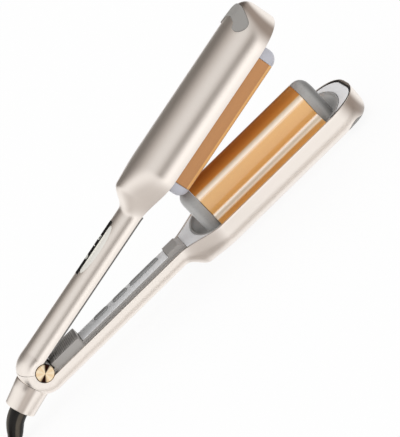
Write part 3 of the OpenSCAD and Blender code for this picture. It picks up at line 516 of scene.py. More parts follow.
def skin(name, arm, stations, proud=0):
    """A shell between the casing's surface and its wall, with a rounded rim."""
    levels = 30
    rows = [(k / levels, -proud, 0) for k in range(levels, 0, -1)]
    rows += [(0, -proud, RIM_R), (0, RIM_MIDDLE - proud, RIM_MIDDLE), (0, RIM_R - proud, 0)]
    rows += [(0, WALL - RIM_R, 0), (0, WALL - RIM_MIDDLE, RIM_MIDDLE), (0, WALL, RIM_R)]
    rows += [(k / levels, WALL, 0) for k in range(1, levels + 1)]
    columns = [(s, x, -1) for s, x in stations] + [(s, x, 1) for s, x in reversed(stations)]
    points = [placed(shell_point(arm, s, x, side, *row), arm)
              for row in rows for s, x, side in columns]
    wide = len(columns)
    faces = [(r * wide + c, r * wide + c + 1, (r + 1) * wide + c + 1, (r + 1) * wide + c)
             for r in range(len(rows) - 1) for c in range(wide - 1)]
    for c in (0, wide - 1):
        last = len(rows) - 1
        faces += [(k * wide + c, (k + 1) * wide + c, (last - k - 1) * wide + c, (last - k) * wide + c)
                  for k in range(len(rows) // 2 - 1)]
    return new_piece(name, points, faces)


def stations(arm):
    """Where a casing's cross-sections stand, as the angle behind the hinge and the distance."""
    sweep = [(arm["sweep"] * (1 - i / 26), 0) for i in range(26)]
    bore = [(0, HOLE_R * math.sin(math.pi / 2 * i / 14)) for i in range(15)]
    handle = [(0, float(x)) for x in np.linspace(10, NECK_X - 6, 16)]
    neck = [(0, NECK_X - 5 + i / 2) for i in range(2 * NECK_FLARE + 11)]
    barrel = [(0, float(x)) for x in np.linspace(165, ROUND_X - 6, 8)]
    return sweep + bore + handle + neck + barrel + tip_stations()


def tip_stations():
    return [(0, ROUND_X + TIP_ROUND * math.sin(math.pi / 2 * i / 34) ** 0.8) for i in range(35)]


def prism(name, outline, low, high, arm):
    """An upright solid over a plan outline, given in order round it."""
    points = [placed((x, y, z), arm) for z in (low, high) for x, y in outline]
    return new_piece(name, points, tube(2, len(outline)))


FRONT_X, FRONT_R, FRONT_HALF = ARM - 42, 36.2, 0.606
LOBE_X, LOBE_Y, LOBE_R = ARM - 17.2, 17.2, 6
HOLLOW_X, HOLLOW_R, HOLLOW_HALF = ARM - 46.4, 30, 0.42


def bow(x, y, r, start, stop, count):
    """Points of an arc round a place, between two angles."""
    return [(x + r * math.cos(a), y + r * math.sin(a)) for a in np.linspace(start, stop, count)]


def insert_outline(grow):
    """The plan of a tip insert: a round front, and two lobes with a hollow edge between them."""
    front = bow(FRONT_X, 0, FRONT_R + grow, -FRONT_HALF, FRONT_HALF, 60)
    lobe = bow(LOBE_X, LOBE_Y, LOBE_R + grow, 0.65, math.pi * 1.16, 30)
    hollow = bow(HOLLOW_X, 0, HOLLOW_R - grow, HOLLOW_HALF, -HOLLOW_HALF, 36)
    return front + lobe + hollow + [(x, -y) for x, y in reversed(lobe)]


def turned(name, profile, place, sides=96):
    """A piece turned on a lathe, from (radius, height) round its section; place puts a point."""
    points = [place((r * math.cos(a), r * math.sin(a), h))
              for a in np.linspace(0, 2 * math.pi, sides, endpoint=False) for r, h in profile]
    return new_piece(name, points, rings(sides, len(profile), closed=True))


OUTLET = math.radians(109.1)


def outlet(point):
    """Puts a point whose height is measured from the hinge along the outlet's axis."""
    x, y, h = point
    return placed((x * math.cos(OUTLET) - h * math.sin(OUTLET), y,
                   x * math.sin(OUTLET) + h * math.cos(OUTLET)))


UPPER_BACK = UPPER["rim"] + UPPER["handle"]
DISPLAY_X, DISPLAY_LEN, DISPLAY_W = 89.5, 43.6, 4
FACET_R, FACET_TILT, FACET_SUNK, FACET_Y = 230, math.radians(12), 1.25, -4.6


def facet(side):
    """The cutter of a shallow scoop beside the display."""
    reach = DISPLAY_LEN / 2
    outline = [(x, FACET_R - math.sqrt(FACET_R**2 - x * x)) for x in np.linspace(-reach, reach, 33)]
    outline += [(reach, 6), (-reach, 6)]
    c, s = math.cos(FACET_TILT), math.sin(FACET_TILT)
    points = [placed((DISPLAY_X + x, side * (FACET_Y + y * c - z * s),
                      -(UPPER_BACK - FACET_SUNK + y * s + z * c)), UPPER)
              for y in (-6, 2.4) for x, z in outline]
    cutter = new_piece("cut", points, tube(2, len(outline)))
    wear(cutter, pearl)
    return cutter


DIMPLE_X, DIMPLE_R, DIMPLE_FLOOR = ARM - 10.2, 40, 27.7


def dimple():
    """The cutter of the finger's hollow in the upper insert: a ball's end, under a flat top."""
    section = [(DIMPLE_R * math.sin(a), DIMPLE_FLOOR + DIMPLE_R * (1 - math.cos(a)))
               for a in np.linspace(0, 0.6, 16)]
    return turned("cut", section + [(0, 40)],
                  lambda p: placed((DIMPLE_X + p[0], p[1], -p[2]), UPPER))


# The lacquer's two tones, and the brown of the painted shade on the casings and the collar.
CHAMPAGNE, CHAMPAGNE_PALE, PAINTED_SHADE_BROWN = paint(246, 235, 226), paint(255, 248, 240), paint(116, 94, 78)


def pearl_lacquer(name, turn):
    """Champagne lacquer with painted shade, in brown, where the surface leans along the arm at the neck
    and the tip.
    """
    finish = Finish(name, Metallic=0.94)
    flake = finish.noise(0.35, detail=2)
    drift = finish.noise(30, detail=1)
    leaning, sidelong = [finish.unsigned(n) for n in finish.along_arm("Normal", turn)[:2]]
    reach = finish.from_hinge(turn)[0]
    # Painted shade: brown where the surface leans partly along the arm, over the neck where it also
    # faces sideways, and over the tip.
    neck = finish.rise(reach, 0.06, 0.1) * finish.rise(reach, 0.24, 0.2)
    neck = 0.5 * neck * finish.rise(sidelong, 0.3, 0.75)
    tip = finish.rise(reach, 0.2, 0.26)
    painted_shade = finish.rise(leaning, 0.12, 0.56) * finish.rise(leaning, 0.93, 0.7) * (neck + tip)
    ground = finish.blend(flake, CHAMPAGNE, CHAMPAGNE_PALE)
    finish.feed(Base_Color=finish.blend(0.8 * painted_shade, ground, PAINTED_SHADE_BROWN),
                Roughness=0.27 + 0.06 * flake + 0.04 * drift)
    finish.grain(flake, 0.008, 0.25)
    return finish


pearl = Finish("facet_pearl", Metallic=0.35)
shimmer = pearl.noise(0.5, detail=2)
pearl.feed(Base_Color=pearl.blend(shimmer, paint(246, 243, 235), paint(254, 252, 246)),
           Roughness=0.3 + 0.08 * shimmer)

grip = Finish("tip_grip", Specular_IOR_Level=0.45)
stipple = grip.noise(0.5)
grip.feed(Base_Color=grip.blend(stipple, paint(146, 143, 139), paint(160, 157, 153)),
          Roughness=0.42 + 0.14 * stipple)
grip.grain(stipple, 0.03)

CORNERS = ((-1, -1), (1, -1), (1, 1), (-1, 1))
INSERT_CUT, LENS_CUT, INSERT_PROUD = (-60, -14), (-30, -8.3), 0.8
OUTLET_BORE = [(0, 6.85), (8.9, 6.85), (8.9, 13.5), (12.6, 13.5), (12.6, 33), (0, 33)]
for arm, word in ((LOWER, "lower"), (UPPER, "upper")):
    casing = skin(word + "_shell", arm, stations(arm))
    wear(casing, pearl_lacquer(word + "_champagne_lacquer", arm["turn"]))
    carve(casing, prism("cut", insert_outline(0), *INSERT_CUT, arm))
    if arm is LOWER:
        carve(casing, turned("cut", OUTLET_BORE, outlet))
    else:
        carve(casing, facet(-1))
        carve(casing, facet(1))
        slot = [(DISPLAY_X + i * DISPLAY_LEN / 2, j * DISPLAY_W / 2) for i, j in CORNERS]
        carve(casing, prism("cut", slot, *LENS_CUT, UPPER))
    insert = skin(word + "_finger_rest", arm, tip_stations(), INSERT_PROUD if arm is UPPER else 0)
    carve(insert, prism("cut", insert_outline(-0.2), *INSERT_CUT, arm), "INTERSECT")
    if arm is UPPER:
        carve(insert, dimple())
    smooth(casing)
    smooth(insert)
    fit(casing, None, "champagne", word + "_casing")
    fit(insert, grip, "grip_grey", word + "_tip_insert")

# ---- Trays ----
# Light-grey moulded decks between the casings' rims and the heated parts, clipped in from above,
# and a black strip of painted shade in the groove between the lower tip's deck and its rim.
deck = speckled("deck_plastic", (240, 240, 241), (250, 250, 251), 0.6, (0.34, 0.46), 0.012)
upper_deck = speckled("upper_deck_plastic", (172, 172, 175), (184, 184, 187), 0.6, (0.4, 0.5), 0.012)
for word, finish in (("lower", deck), ("upper", upper_deck)):
    for end in ("rear", "tip"):
        dress(f"{word}_tray_{end}", f"{word}_deck_{end}", 0.35, finish, "light_grey")


def rim_strip(name, arm, path, section):
    """A strip along a casing's rim, from (distance in from it, depth below it) round its section."""
    points = [placed(shell_point(arm, 0, x, side, 0, inset, sunk), arm)
              for x, side in path for inset, sunk in section]
    strip = new_piece(name, points, tube(len(path), len(section)))
    smooth(strip)
    return strip


# A dark strip of painted shade in the groove between the lower tip's deck and its rim.
groove_shade_black = speckled("groove_shade_dark", (24, 20, 18), (38, 33, 30), 0.7, (0.5, 0.62), 0.01)
tip_rim = [x for _, x in tip_stations()][2:]
groove_shade_strip = rim_strip("tip_groove_shade", LOWER, [(x, -1) for x in tip_rim] + [(x, 1) for x in tip_rim[-2::-1]],
                 [(1.9, 1.2), (1.9, 0.12), (3.2, 0.12), (3.2, 1.2)])
fit(groove_shade_strip, groove_shade_black, "boot_black", body="lower_arm")

# ---- Heating plates ----
# Pressed aluminium sheet, 1.8 mm thick, with a glossy gold ceramic coating. The lower one is bent to
# a tall dome between two valleys, the upper one to two rails with a trough that takes the dome.
PLATE_START, PLATE_END, PLATE_T = 157.5, 257, 1.8
RAIL_SHIFT = 2
DOME_R, DOME_Z, VALLEY_R, VALLEY_Z = 12, 8.1, 9.9, -0.6
RAIL_Y, RAIL_R, RAIL_Z, TROUGH_R = 21.9, 8.1, -1.0, 13.8
VALLEY_DIP, DOME_EDGE_Y, RAIL_EDGE_Z = 2, 30, 6.8


def bend(y, z, r, start, stop, count):
    """Points of an arc, as bow gives them, from angles in degrees."""
    return bow(y, z, r, math.radians(start), math.radians(stop), count)


def dome_wave(depth):
    """Half of the lower plate's section: a valley, deeper beside the dome, and the dome."""
    r = VALLEY_R + depth
    half = bend(RAIL_Y, VALLEY_Z, r, -40.3, -90, 12)
    half += [(y, VALLEY_Z - VALLEY_DIP + (z - VALLEY_Z) * (r - VALLEY_DIP) / r)
             for y, z in bend(RAIL_Y, VALLEY_Z, r, -95, -180, 24)]
    return [(min(y, DOME_EDGE_Y), z) for y, z in half] + bend(0, DOME_Z, DOME_R - depth, 0, 90, 28)


def rail_wave(depth):
    """Half of the upper plate's section: a rail and the trough."""
    edge = [(RAIL_Y + RAIL_R - depth, RAIL_EDGE_Z)]
    return (edge + bend(RAIL_Y, RAIL_Z, RAIL_R - depth, 0, -180, 36)
            + bend(0, DOME_Z, TROUGH_R + depth, 0, 90, 28))


def bent_plate(name, wave, start, end, arm):
    """A sheet bent to a wave, with its end edges broken."""
    points = []
    edge = 0.3
    for x, thin in ((start, edge), (start + edge, 0), (end - edge, 0), (end, edge)):
        for depth, way in ((thin, 1), (PLATE_T - thin, -1)):
            half = wave(depth)
            full = half + [(-y, z) for y, z in reversed(half[:-1])]
            points += [placed((x, y, -arm["up"] * z), arm) for y, z in full[::way]]
    n = len(points) // 4
    ends = [(k + i, k + i + 1, k + n - 2 - i, k + n - 1 - i)
            for k in (0, 3 * n) for i in range(n // 2 - 1)]
    return new_piece(name, points, rings(4, n) + ends)


# Bands along the plates as (height above the hinge axis, half their width), in metres
POLISHED = ((0.0119, 0.0026), (-0.0052, 0.0022))
# Heights over which the dome's crown takes on painted shade, and the brown of that shade.
CROWN_START, CROWN_END = 0.0142, 0.0153
PAINTED_SHADE_GOLD = paint(226, 150, 68)


def gold_coat(name, deep, bright, arm, worn, polished, *painted_highlights):
    """Ceramic coating, with painted shade in brown over the crown and painted highlights in pale bands
    along the plate.
    """
    finish = Finish(name, Coat_Roughness=0.07, Coat_IOR=3)
    grains = finish.noise(0.55, stretch=(0.35, 1, 1))
    drift = finish.noise(14, stretch=(0.2, 1, 1), detail=2)
    height = finish.from_hinge(arm["turn"])[2]
    # worn sets how strongly the crown takes on painted shade.
    painted_crown_shade = finish.rise(height, CROWN_START, CROWN_END, 0, worn)
    coat = 0.1 + 0.25 * (worn - painted_crown_shade)
    for middle, half in POLISHED:
        coat = coat + finish.rise(finish.unsigned(height - middle), half - 0.0007, half, polished, 0)
    ground = finish.blend(0.65 * grains + 0.35 * drift, paint(*deep), paint(*bright))
    metal = 0.5
    # Painted highlights: pale bands along the plate, where the metal is also made less metallic.
    for middle, half, strength, tone in painted_highlights:
        highlight_band = finish.rise(finish.unsigned(height - middle), half, half + 0.0009, strength, 0)
        ground = finish.blend(highlight_band, ground, paint(*tone))
        metal = metal + -0.4 * highlight_band
    finish.feed(Base_Color=finish.blend(painted_crown_shade, ground, PAINTED_SHADE_GOLD), Coat_Weight=coat, Metallic=metal,
                Roughness=0.34 + 0.12 * grains)
    finish.grain(grains, 0.008, 0.3)
    return finish


# The last entries of each plate are its painted highlights: height, half width, strength and pale tone.
gold_dome = gold_coat("gold_ceramic_dome", (236, 176, 100), (250, 198, 118), LOWER, 1, 0.65,
                      (0.0126, 0.0012, 0.85, (255, 236, 210)),
                      (-0.006, 0.0015, 0.95, (255, 240, 218)))
gold_rail = gold_coat("gold_ceramic_rails", (188, 128, 74), (206, 148, 92), UPPER, 0, 0,
                      (-0.0066, 0.0009, 1, (244, 190, 120)))
dome = bent_plate("dome_plate", dome_wave, PLATE_START, PLATE_END, LOWER)
smooth(dome)
fit(dome, gold_dome, "gold_ceramic", "lower_heating_plate")
rails = bent_plate("rail_plate", rail_wave, PLATE_START + RAIL_SHIFT, PLATE_END + RAIL_SHIFT, UPPER)
smooth(rails)
fit(rails, gold_rail, "gold_ceramic", "upper_heating_plate")

# ---- End caps ----
# Heat-resistant nylon mouldings that close the plates: a rounded nose over a bowl on the lower arm,
# two rail ends round the trough on the upper one.
nose_grey = Finish("nose_nylon")
grains = nose_grey.noise(1.2)
facing = nose_grey.axes("Normal")[0]
shade = nose_grey.blend(grains, paint(160, 159, 157), paint(182, 181, 179))
# Painted shade on faces that turn toward the tip, and a painted highlight on faces that turn toward the
# hinge.
shade = nose_grey.blend(nose_grey.rise(facing, 0.2, 0.75, 0, 0.75), shade, paint(84, 82, 80))
shade = nose_grey.blend(nose_grey.rise(facing, -0.3, -0.8, 0, 0.6), shade, paint(224, 223, 221))
nose_grey.feed(Base_Color=shade, Roughness=0.24 + 0.1 * grains)
nose_grey.grain(grains, 0.015)
rail_cap = speckled("rail_cap_nylon", (184, 184, 192), (200, 200, 208), 0.8, (0.3, 0.42), 0.012)
for end in ("rear", "tip"):
    dress(f"lower_end_cap_{end}", f"dome_nose_{end}", 0.35, nose_grey, "dark_grey")
    dress(f"upper_end_cap_{end}", f"rail_nose_{end}", 0.35, rail_cap, "lavender_grey")

# ---- Heaters ----
# Flat PTC ceramic heaters that aluminium bars clamp to the plates' inside, with a thermal fuse below
# and a thermistor above.
ptc = speckled("ptc_ceramic", (186, 184, 178), (214, 212, 206), 0.7, (0.6, 0.75), 0.03)
bar_metal = speckled("clamp_aluminium", (176, 178, 181), (202, 204, 207), 0.5, (0.3, 0.45), 0.01,
                     Metallic=1)
sensor_glass = speckled("sensor_bead", (44, 40, 38), (70, 62, 56), 0.5, (0.15, 0.3), 0.01)
for node, finish, slot in (
        ("lower_heater", ptc, "heater_ceramic"), ("lower_heater_clamp", bar_metal, "aluminium"),
        ("thermal_fuse", bar_metal, "aluminium"), ("upper_heaters", ptc, "heater_ceramic"),
        ("upper_heater_clamps", bar_metal, "aluminium"),
        ("upper_thermistor", sensor_glass, "switch_black")):
    dress(node, node + "_part", 0.2, finish, slot)

# ---- Handle frames ----
# Glass-filled nylon. The lower one is the raised island that carries the panel and the hinge ears,
# screwed to the casing, with ribs on its block. The upper one is the inner plate with the knuckles,
# and a lip of it shows along each side of the handle.
frame_grey = speckled("frame_nylon", (170, 166, 162), (182, 178, 174), 0.7, (0.4, 0.54), 0.02)
upper_grey = speckled("inner_plate_nylon", (104, 101, 98), (118, 115, 112), 0.7, (0.44, 0.56), 0.02)
dress("lower_handle_frame", "island", 0.35, frame_grey, "dark_grey")
dress("upper_handle_frame", "inner_plate", 0.35, upper_grey, "dark_grey")
lip_x = np.linspace(15, NECK_X + 4, 40)
for side, word in ((-1, "near"), (1, "far")):
    lip = rim_strip(f"frame_lip_{word}", UPPER, [(x, side) for x in lip_x],
                    [(0.45, 0.3), (0.45, -1.05), (1.6, -1.05), (1.6, 0.3)])
    fit(lip, upper_grey, "dark_grey", body="upper_arm")


class Pattern:
    """A Geometry Nodes tree that repeats a form, with named inputs for its sizes."""

    def __init__(self, name, **inputs):
        self.tree = bpy.data.node_groups.new(name, "GeometryNodeTree")
        self.tree.interface.new_socket("Geometry", in_out="OUTPUT",
                                       socket_type="NodeSocketGeometry")
        kinds = {int: "Int", float: "Float", tuple: "Vector"}
        self.inputs = {}
        for label, value in inputs.items():
            socket = self.tree.interface.new_socket(
                label, in_out="INPUT", socket_type="NodeSocket" + kinds[type(value)])
            socket.default_value = value
            self.inputs[label] = socket.identifier
        self.given = self.tree.nodes.new("NodeGroupInput").outputs

    def node(self, kind, values=(), out=0, **settings):
        made = self.tree.nodes.new(kind)
        for name, value in settings.items():
            setattr(made, name, value)
        for name, value in dict(values).items():
            for one in value if isinstance(value, list) else [value]:
                if isinstance(one, bpy.types.NodeSocket):
                    self.tree.links.new(one, made.inputs[name])
                else:
                    made.inputs[name].default_value = one
        return made.outputs[out]

    def close(self, geometry, finish):
        real = self.node("GeometryNodeRealizeInstances", {"Geometry": geometry})
        worn = self.node("GeometryNodeSetMaterial", {"Geometry": real, "Material": finish.material})
        self.tree.links.new(worn, self.tree.nodes.new("NodeGroupOutput").inputs[0])

    def piece(self, name, **values):
        made = bpy.data.objects.new(name, bpy.data.meshes.new(name))
        bpy.context.scene.collection.objects.link(made)
        step = made.modifiers.new("pattern", "NODES")
        step.node_group = self.tree
        for label, value in values.items():
            step[self.inputs[label]] = value
        settle(made)
        smooth(made)
        return made


ribs = Pattern("grip_ribs", Count=14, Pitch=(0.0015, 0.0, 0.0), Start=(0.0, 0.0, 0.0),
               Size=(0.0008, 0.019, 0.0006))
row = ribs.node("GeometryNodeMeshLine", {"Count": ribs.given["Count"], "Offset": ribs.given["Pitch"],
                                         "Start Location": ribs.given["Start"]})
rib = ribs.node("GeometryNodeMeshCube", {"Size": ribs.given["Size"]})
rib_grey = speckled("rib_nylon", (206, 202, 197), (216, 212, 207), 0.7, (0.4, 0.54), 0.02)
ribs.close(ribs.node("GeometryNodeInstanceOnPoints", {"Points": row, "Instance": rib}), rib_grey)
block_ribs = ribs.piece("block_ribs", Start=tuple(placed((11, 0, 0.62))))
fit(block_ribs, rib_grey, "dark_grey", body="lower_arm")

# ---- Control panel and buttons ----
# A light-grey crowned panel clipped into the island, with two push buttons and the temperature
# rocker, moulded in mid-grey, that press the switches on the board below.
dress("control_panel", "panel", 0.2, deck, "light_grey")
key_grey = speckled("key_plastic", (156, 156, 155), (168, 168, 167), 0.6, (0.36, 0.48), 0.015)
for node in ("power_button", "mode_button", "temperature_rocker"):
    dress(node, node + "_cap", 0.45, key_grey, "button_grey")

# ---- Boards and wires ----
# Fibreglass boards with green solder mask, the lower one with four tact switches, and
# silicone-covered wires that lead through the handles to the heaters.
solder_mask = Finish("solder_mask", Coat_Weight=0.4)
tracks = solder_mask.node("TexBrick", {
    "Vector": solder_mask.place((1, 1, 0)), "Scale": 400, "Color1": paint(18, 84, 50),
    "Color2": paint(24, 98, 60), "Mortar": paint(52, 140, 92), "Mortar Size": 0.03})
solder_mask.feed(Base_Color=tracks, Roughness=0.34 + 0.1 * solder_mask.noise(2))
switch_shell = speckled("switch_shell", (34, 34, 35), (50, 50, 52), 0.4, (0.4, 0.55), 0.01)
silicone = speckled("wire_silicone", (176, 44, 34), (198, 62, 48), 0.9, (0.5, 0.62), 0.01)
for node, finish, slot in (
        ("control_board", solder_mask, "board"), ("display_board", solder_mask, "board"),
        ("tact_switches", switch_shell, "switch_black"), ("lower_wires", silicone, "wire_red"),
        ("upper_wires", silicone, "wire_red")):
    dress(node, node + "_part", 0.12, finish, slot)

# ---- Display ----
# A smoked acrylic window in the back of the upper handle, glued into its slot, with lit digits
# behind it. The window's face is raised by half a millimetre, to stand clear of the scoops.
smoked = speckled("smoked_acrylic", (8, 7, 6), (14, 12, 11), 3, (0.1, 0.16), 0.002,
                  Specular_IOR_Level=0.2)
lens = eased("display_lens", "lens", 0.2)
LENS_MIDDLE, LENS_LIFT = -15, -0.5
inside = placed((DISPLAY_X, 0, LENS_MIDDLE), UPPER)
lift = placed((0, 0, LENS_LIFT), UPPER) - HINGE
for corner in lens.data.vertices:
    if (corner.co - inside).dot(lift) > 0:
        corner.co += lift
fit(lens, smoked, "black_lens", "display_lens")
lit = Finish("lit_digits", Emission_Strength=0.35)
fade = lit.noise(1.2)
pale = lit.blend(fade, paint(206, 206, 198), paint(232, 232, 224))
lit.feed(Base_Color=pale, Emission_Color=pale, Roughness=0.3 + 0.1 * fade)
DIGIT_W, DIGIT_H, STROKE, DIGIT_PITCH, DIGIT_DEPTHS = 3.4, 3.2, 0.6, 8, (14.2, 17.36)
SEGMENTS = {"2": "abged", "1": "bc", "0": "abcdef"}


def segment(letter, middle):
    """Corners of one stroke of a digit, read from the hinge toward the tip."""
    x, y = {"a": (0, 1), "g": (0, 0), "d": (0, -1), "f": (-1, 0.5), "b": (1, 0.5),
            "e": (-1, -0.5), "c": (1, -0.5)}[letter]
    x, y = x * (DIGIT_W - STROKE) / 2, y * (DIGIT_H - STROKE) / 2
    long = (DIGIT_W - STROKE if letter in "agd" else (DIGIT_H - STROKE) / 2) - 0.15
    half = (long / 2, STROKE / 2) if letter in "agd" else (STROKE / 2, long / 2)
    return [(middle + x + i * half[0], y + j * half[1]) for i, j in CORNERS]


points, faces = [], []
for place, digit in zip((-1, 0, 1), "210"):
    for letter in SEGMENTS[digit]:
        faces += tube(2, 4, len(points))
        points += [placed((x, y, -z), UPPER) for z in DIGIT_DEPTHS
                   for x, y in segment(letter, DISPLAY_X + place * DIGIT_PITCH)]
digits = new_piece("digits", points, faces)
fit(digits, lit, "digits", "display_digits")

# ---- Screws ----
# Pan-head steel screws with a hexagon socket. Two hold the lower frame to its casing, and three
# the inner plate to the upper one.
steel = speckled("bright_steel", (150, 151, 155), (176, 178, 182), 0.6, (0.22, 0.36), 0.005,
                 Metallic=1)
screws = Pattern("pan_head_screws", Shank=0.00125, Length=0.0038, Head=0.0021, Thickness=0.001,
                 Socket=0.0009, Across=(0.0, 0.0, 0.0), Turn=(0.0, 0.0, 0.0), Count=2,
                 Step=(0.0, 0.0, 0.0))


def drum(radius, depth, vertices, shift):
    """A cylinder whose axis is the screw's, moved along it by a share of its depth."""
    body = screws.node("GeometryNodeMeshCylinder", {
        "Vertices": vertices, "Radius": screws.given[radius], "Depth": screws.given[depth]})
    height = screws.node("ShaderNodeMath", {0: screws.given[depth], 1: shift},
                         operation="MULTIPLY")
    return screws.node("GeometryNodeTransform", {
        "Geometry": body, "Translation": screws.node("ShaderNodeCombineXYZ", {"Z": height})})


whole = screws.node("GeometryNodeJoinGeometry", {
    "Geometry": [drum("Shank", "Length", 24, -0.5), drum("Head", "Thickness", 32, 0.5)]})
drive = drum("Socket", "Thickness", 6, 1)
cut = screws.node("GeometryNodeMeshBoolean", {"Mesh 1": whole, "Mesh 2": drive},
                  operation="DIFFERENCE")
line = screws.node("GeometryNodeMeshLine", {
    "Count": screws.given["Count"], "Offset": screws.given["Step"],
    "Start Location": screws.given["Across"]})
screws.close(screws.node("GeometryNodeInstanceOnPoints", {
    "Points": line, "Instance": cut, "Rotation": screws.given["Turn"]}), steel)
frame_set = screws.piece("frame_screw_set", Across=tuple(placed((64, 0, -12.4))),
                         Step=(0.0185, 0.0, 0.0), Count=2)
fit(frame_set, steel, "steel", "frame_screws")
first, second = placed((30, 0, -4.3), UPPER), placed((60, 0, -4.3), UPPER)
upper_set = screws.piece("plate_screw_set", Across=tuple(first), Step=tuple(second - first),
                         Turn=(math.pi, -OPEN, 0.0), Length=0.006, Count=2)
third = screws.piece("neck_screw", Across=tuple(placed((116, 0, -4.3), UPPER)),
                     Turn=(math.pi, -OPEN, 0.0), Length=0.006, Count=1)
fit(upper_set, steel, "steel", "upper_screws")
fit(third, steel, "steel", body="upper_arm")

# ---- Hinge ----
# A steel pin in bronze bushes carries the upper arm. A wound torsion spring opens it, and rose-gold
# caps with a spun face close both ends of the pin.
bronze = speckled("sintered_bronze", (196, 164, 96), (222, 190, 120), 0.4, (0.35, 0.5), 0.01,
                  Metallic=1)
dress("hinge_pin", "pin", 0.25, steel, "steel")
dress("hinge_bushes", "bushes", 0.2, bronze, "bronze")

wound = Pattern("torsion_spring", Turns=3.5, Coil=0.0035, Wire=0.00065, Width=0.0033, Leg=0.0115,
                Hinge=(0.0, 0.0, 0.0), Opened=0.0)
turns = wound.node("GeometryNodeCurveSpiral", {
    "Resolution": 40, "Rotations": wound.given["Turns"], "Start Radius": wound.given["Coil"],
    "End Radius": wound.given["Coil"], "Height": wound.given["Width"]})
wire = wound.node("GeometryNodeCurvePrimitiveCircle", {
    "Resolution": 12, "Radius": wound.given["Wire"]}, mode="RADIUS")
coil = wound.node("GeometryNodeCurveToMesh", {"Curve": turns, "Profile Curve": wire,
                                              "Fill Caps": True})
half = wound.node("ShaderNodeMath", {0: wound.given["Width"], 1: -0.5}, operation="MULTIPLY")
centred = wound.node("GeometryNodeTransform", {
    "Geometry": coil, "Translation": wound.node("ShaderNodeCombineXYZ", {"Z": half})})
across = wound.node("GeometryNodeTransform", {
    "Geometry": centred, "Rotation": (math.pi / 2, 0, 0)})


def spring_leg(side, turn):
    """A straight end of the spring, tangent to its coil."""
    drop = wound.node("ShaderNodeMath", {0: wound.given["Coil"], 1: side}, operation="MULTIPLY")
    place = wound.node("ShaderNodeMath", {0: wound.given["Width"], 1: side * 0.5},
                       operation="MULTIPLY")
    start = wound.node("ShaderNodeCombineXYZ", {"Y": place, "Z": drop})
    end = wound.node("ShaderNodeCombineXYZ", {"X": wound.given["Leg"], "Y": place, "Z": drop})
    straight = wound.node("GeometryNodeCurvePrimitiveLine", {"Start": start, "End": end})
    bar = wound.node("GeometryNodeCurveToMesh", {"Curve": straight, "Profile Curve": wire,
                                                 "Fill Caps": True})
    return wound.node("GeometryNodeTransform", {"Geometry": bar, "Rotation": turn})


back = wound.node("ShaderNodeMath", {0: wound.given["Opened"], 1: -1}, operation="MULTIPLY")
joined = wound.node("GeometryNodeJoinGeometry", {"Geometry": [
    across, spring_leg(-1, (0, 0, 0)),
    spring_leg(1, wound.node("ShaderNodeCombineXYZ", {"Y": back}))]})
wound.close(wound.node("GeometryNodeTransform", {
    "Geometry": joined, "Translation": wound.given["Hinge"]}), steel)
spring = wound.piece("wound_spring", Hinge=tuple(HINGE), Opened=OPEN)
fit(spring, steel, "steel", "torsion_spring")

# The caps' gold has a painted reflection: a dark hourglass about the pin's axis, and paler petals round
# it.
PAINTED_DARK_FAN = math.radians(34)
spun_gold = Finish("spun_gold", Metallic=1, Specular_IOR_Level=0.5)
x, _, z = spun_gold.from_hinge()
round_face = spun_gold.node("Math", {0: z, 1: x}, operation="ARCTAN2")
fan = spun_gold.node("Math", {0: (round_face - PAINTED_DARK_FAN) * 2}, operation="COSINE")
lobe = spun_gold.node("Math", {0: fan, 1: 0}, operation="MAXIMUM") ** 4
painted_sheen = spun_gold.node("Math", {0: round_face * 7}, operation="SINE")
base = spun_gold.blend(0.5 + 0.35 * painted_sheen, paint(246, 214, 170), paint(255, 238, 208))
spun_gold.feed(Base_Color=spun_gold.blend(1.5 * lobe, base, paint(40, 18, 10)),
               Roughness=0.24 + 0.12 * spun_gold.noise(0.3))
CAP_OUT = 15.4
face = [(5.35 - 0.25 * k, CAP_OUT - 0.18 - 0.05 * (k % 2)) for k in range(20)]
cap_profile = [(0, 8.1), (1.5, 8.1), (1.5, 12.6), (6.45, 12.6), (6.45, 14.7), (6.35, 15), (6.1, 15.25),
               (5.85, CAP_OUT), (5.6, CAP_OUT)] + face + [(0, CAP_OUT - 0.2)]
for side, word in ((-1, "near"), (1, "far")):
    cap = turned(f"hinge_cap_{word}", cap_profile,
                 lambda p, side=side: placed((p[0], side * p[2], p[1])))
    smooth(cap, 40)
    fit(cap, spun_gold, "hinge_gold", "hinge_caps")

# ---- Swivel ----
# The cord leaves through a lacquered collar that is set in the lower casing. A nylon ferrule turns
# in its bore, held by a steel clip.
collar_profile = [
    (7.5, 9.2), (8.8, 9.2), (8.8, 13.7), (11.9, 13.7), (12.15, 13.8), (12.3, 14.1), (11.9, 20),
    (11.5, 26.5), (11.2, 32), (11.12, 32.7), (10.9, 33.05), (10.5, 33.2), (9.9, 33.2), (9.65, 33.05),
    (9.6, 32.7), (9.6, 31.2), (7.5, 31.2)]
collar_coat = Finish("collar_lacquer", Metallic=0.94)
flake = collar_coat.noise(0.35, detail=2)
around = collar_coat.along_arm("Normal", OUTLET)[0]
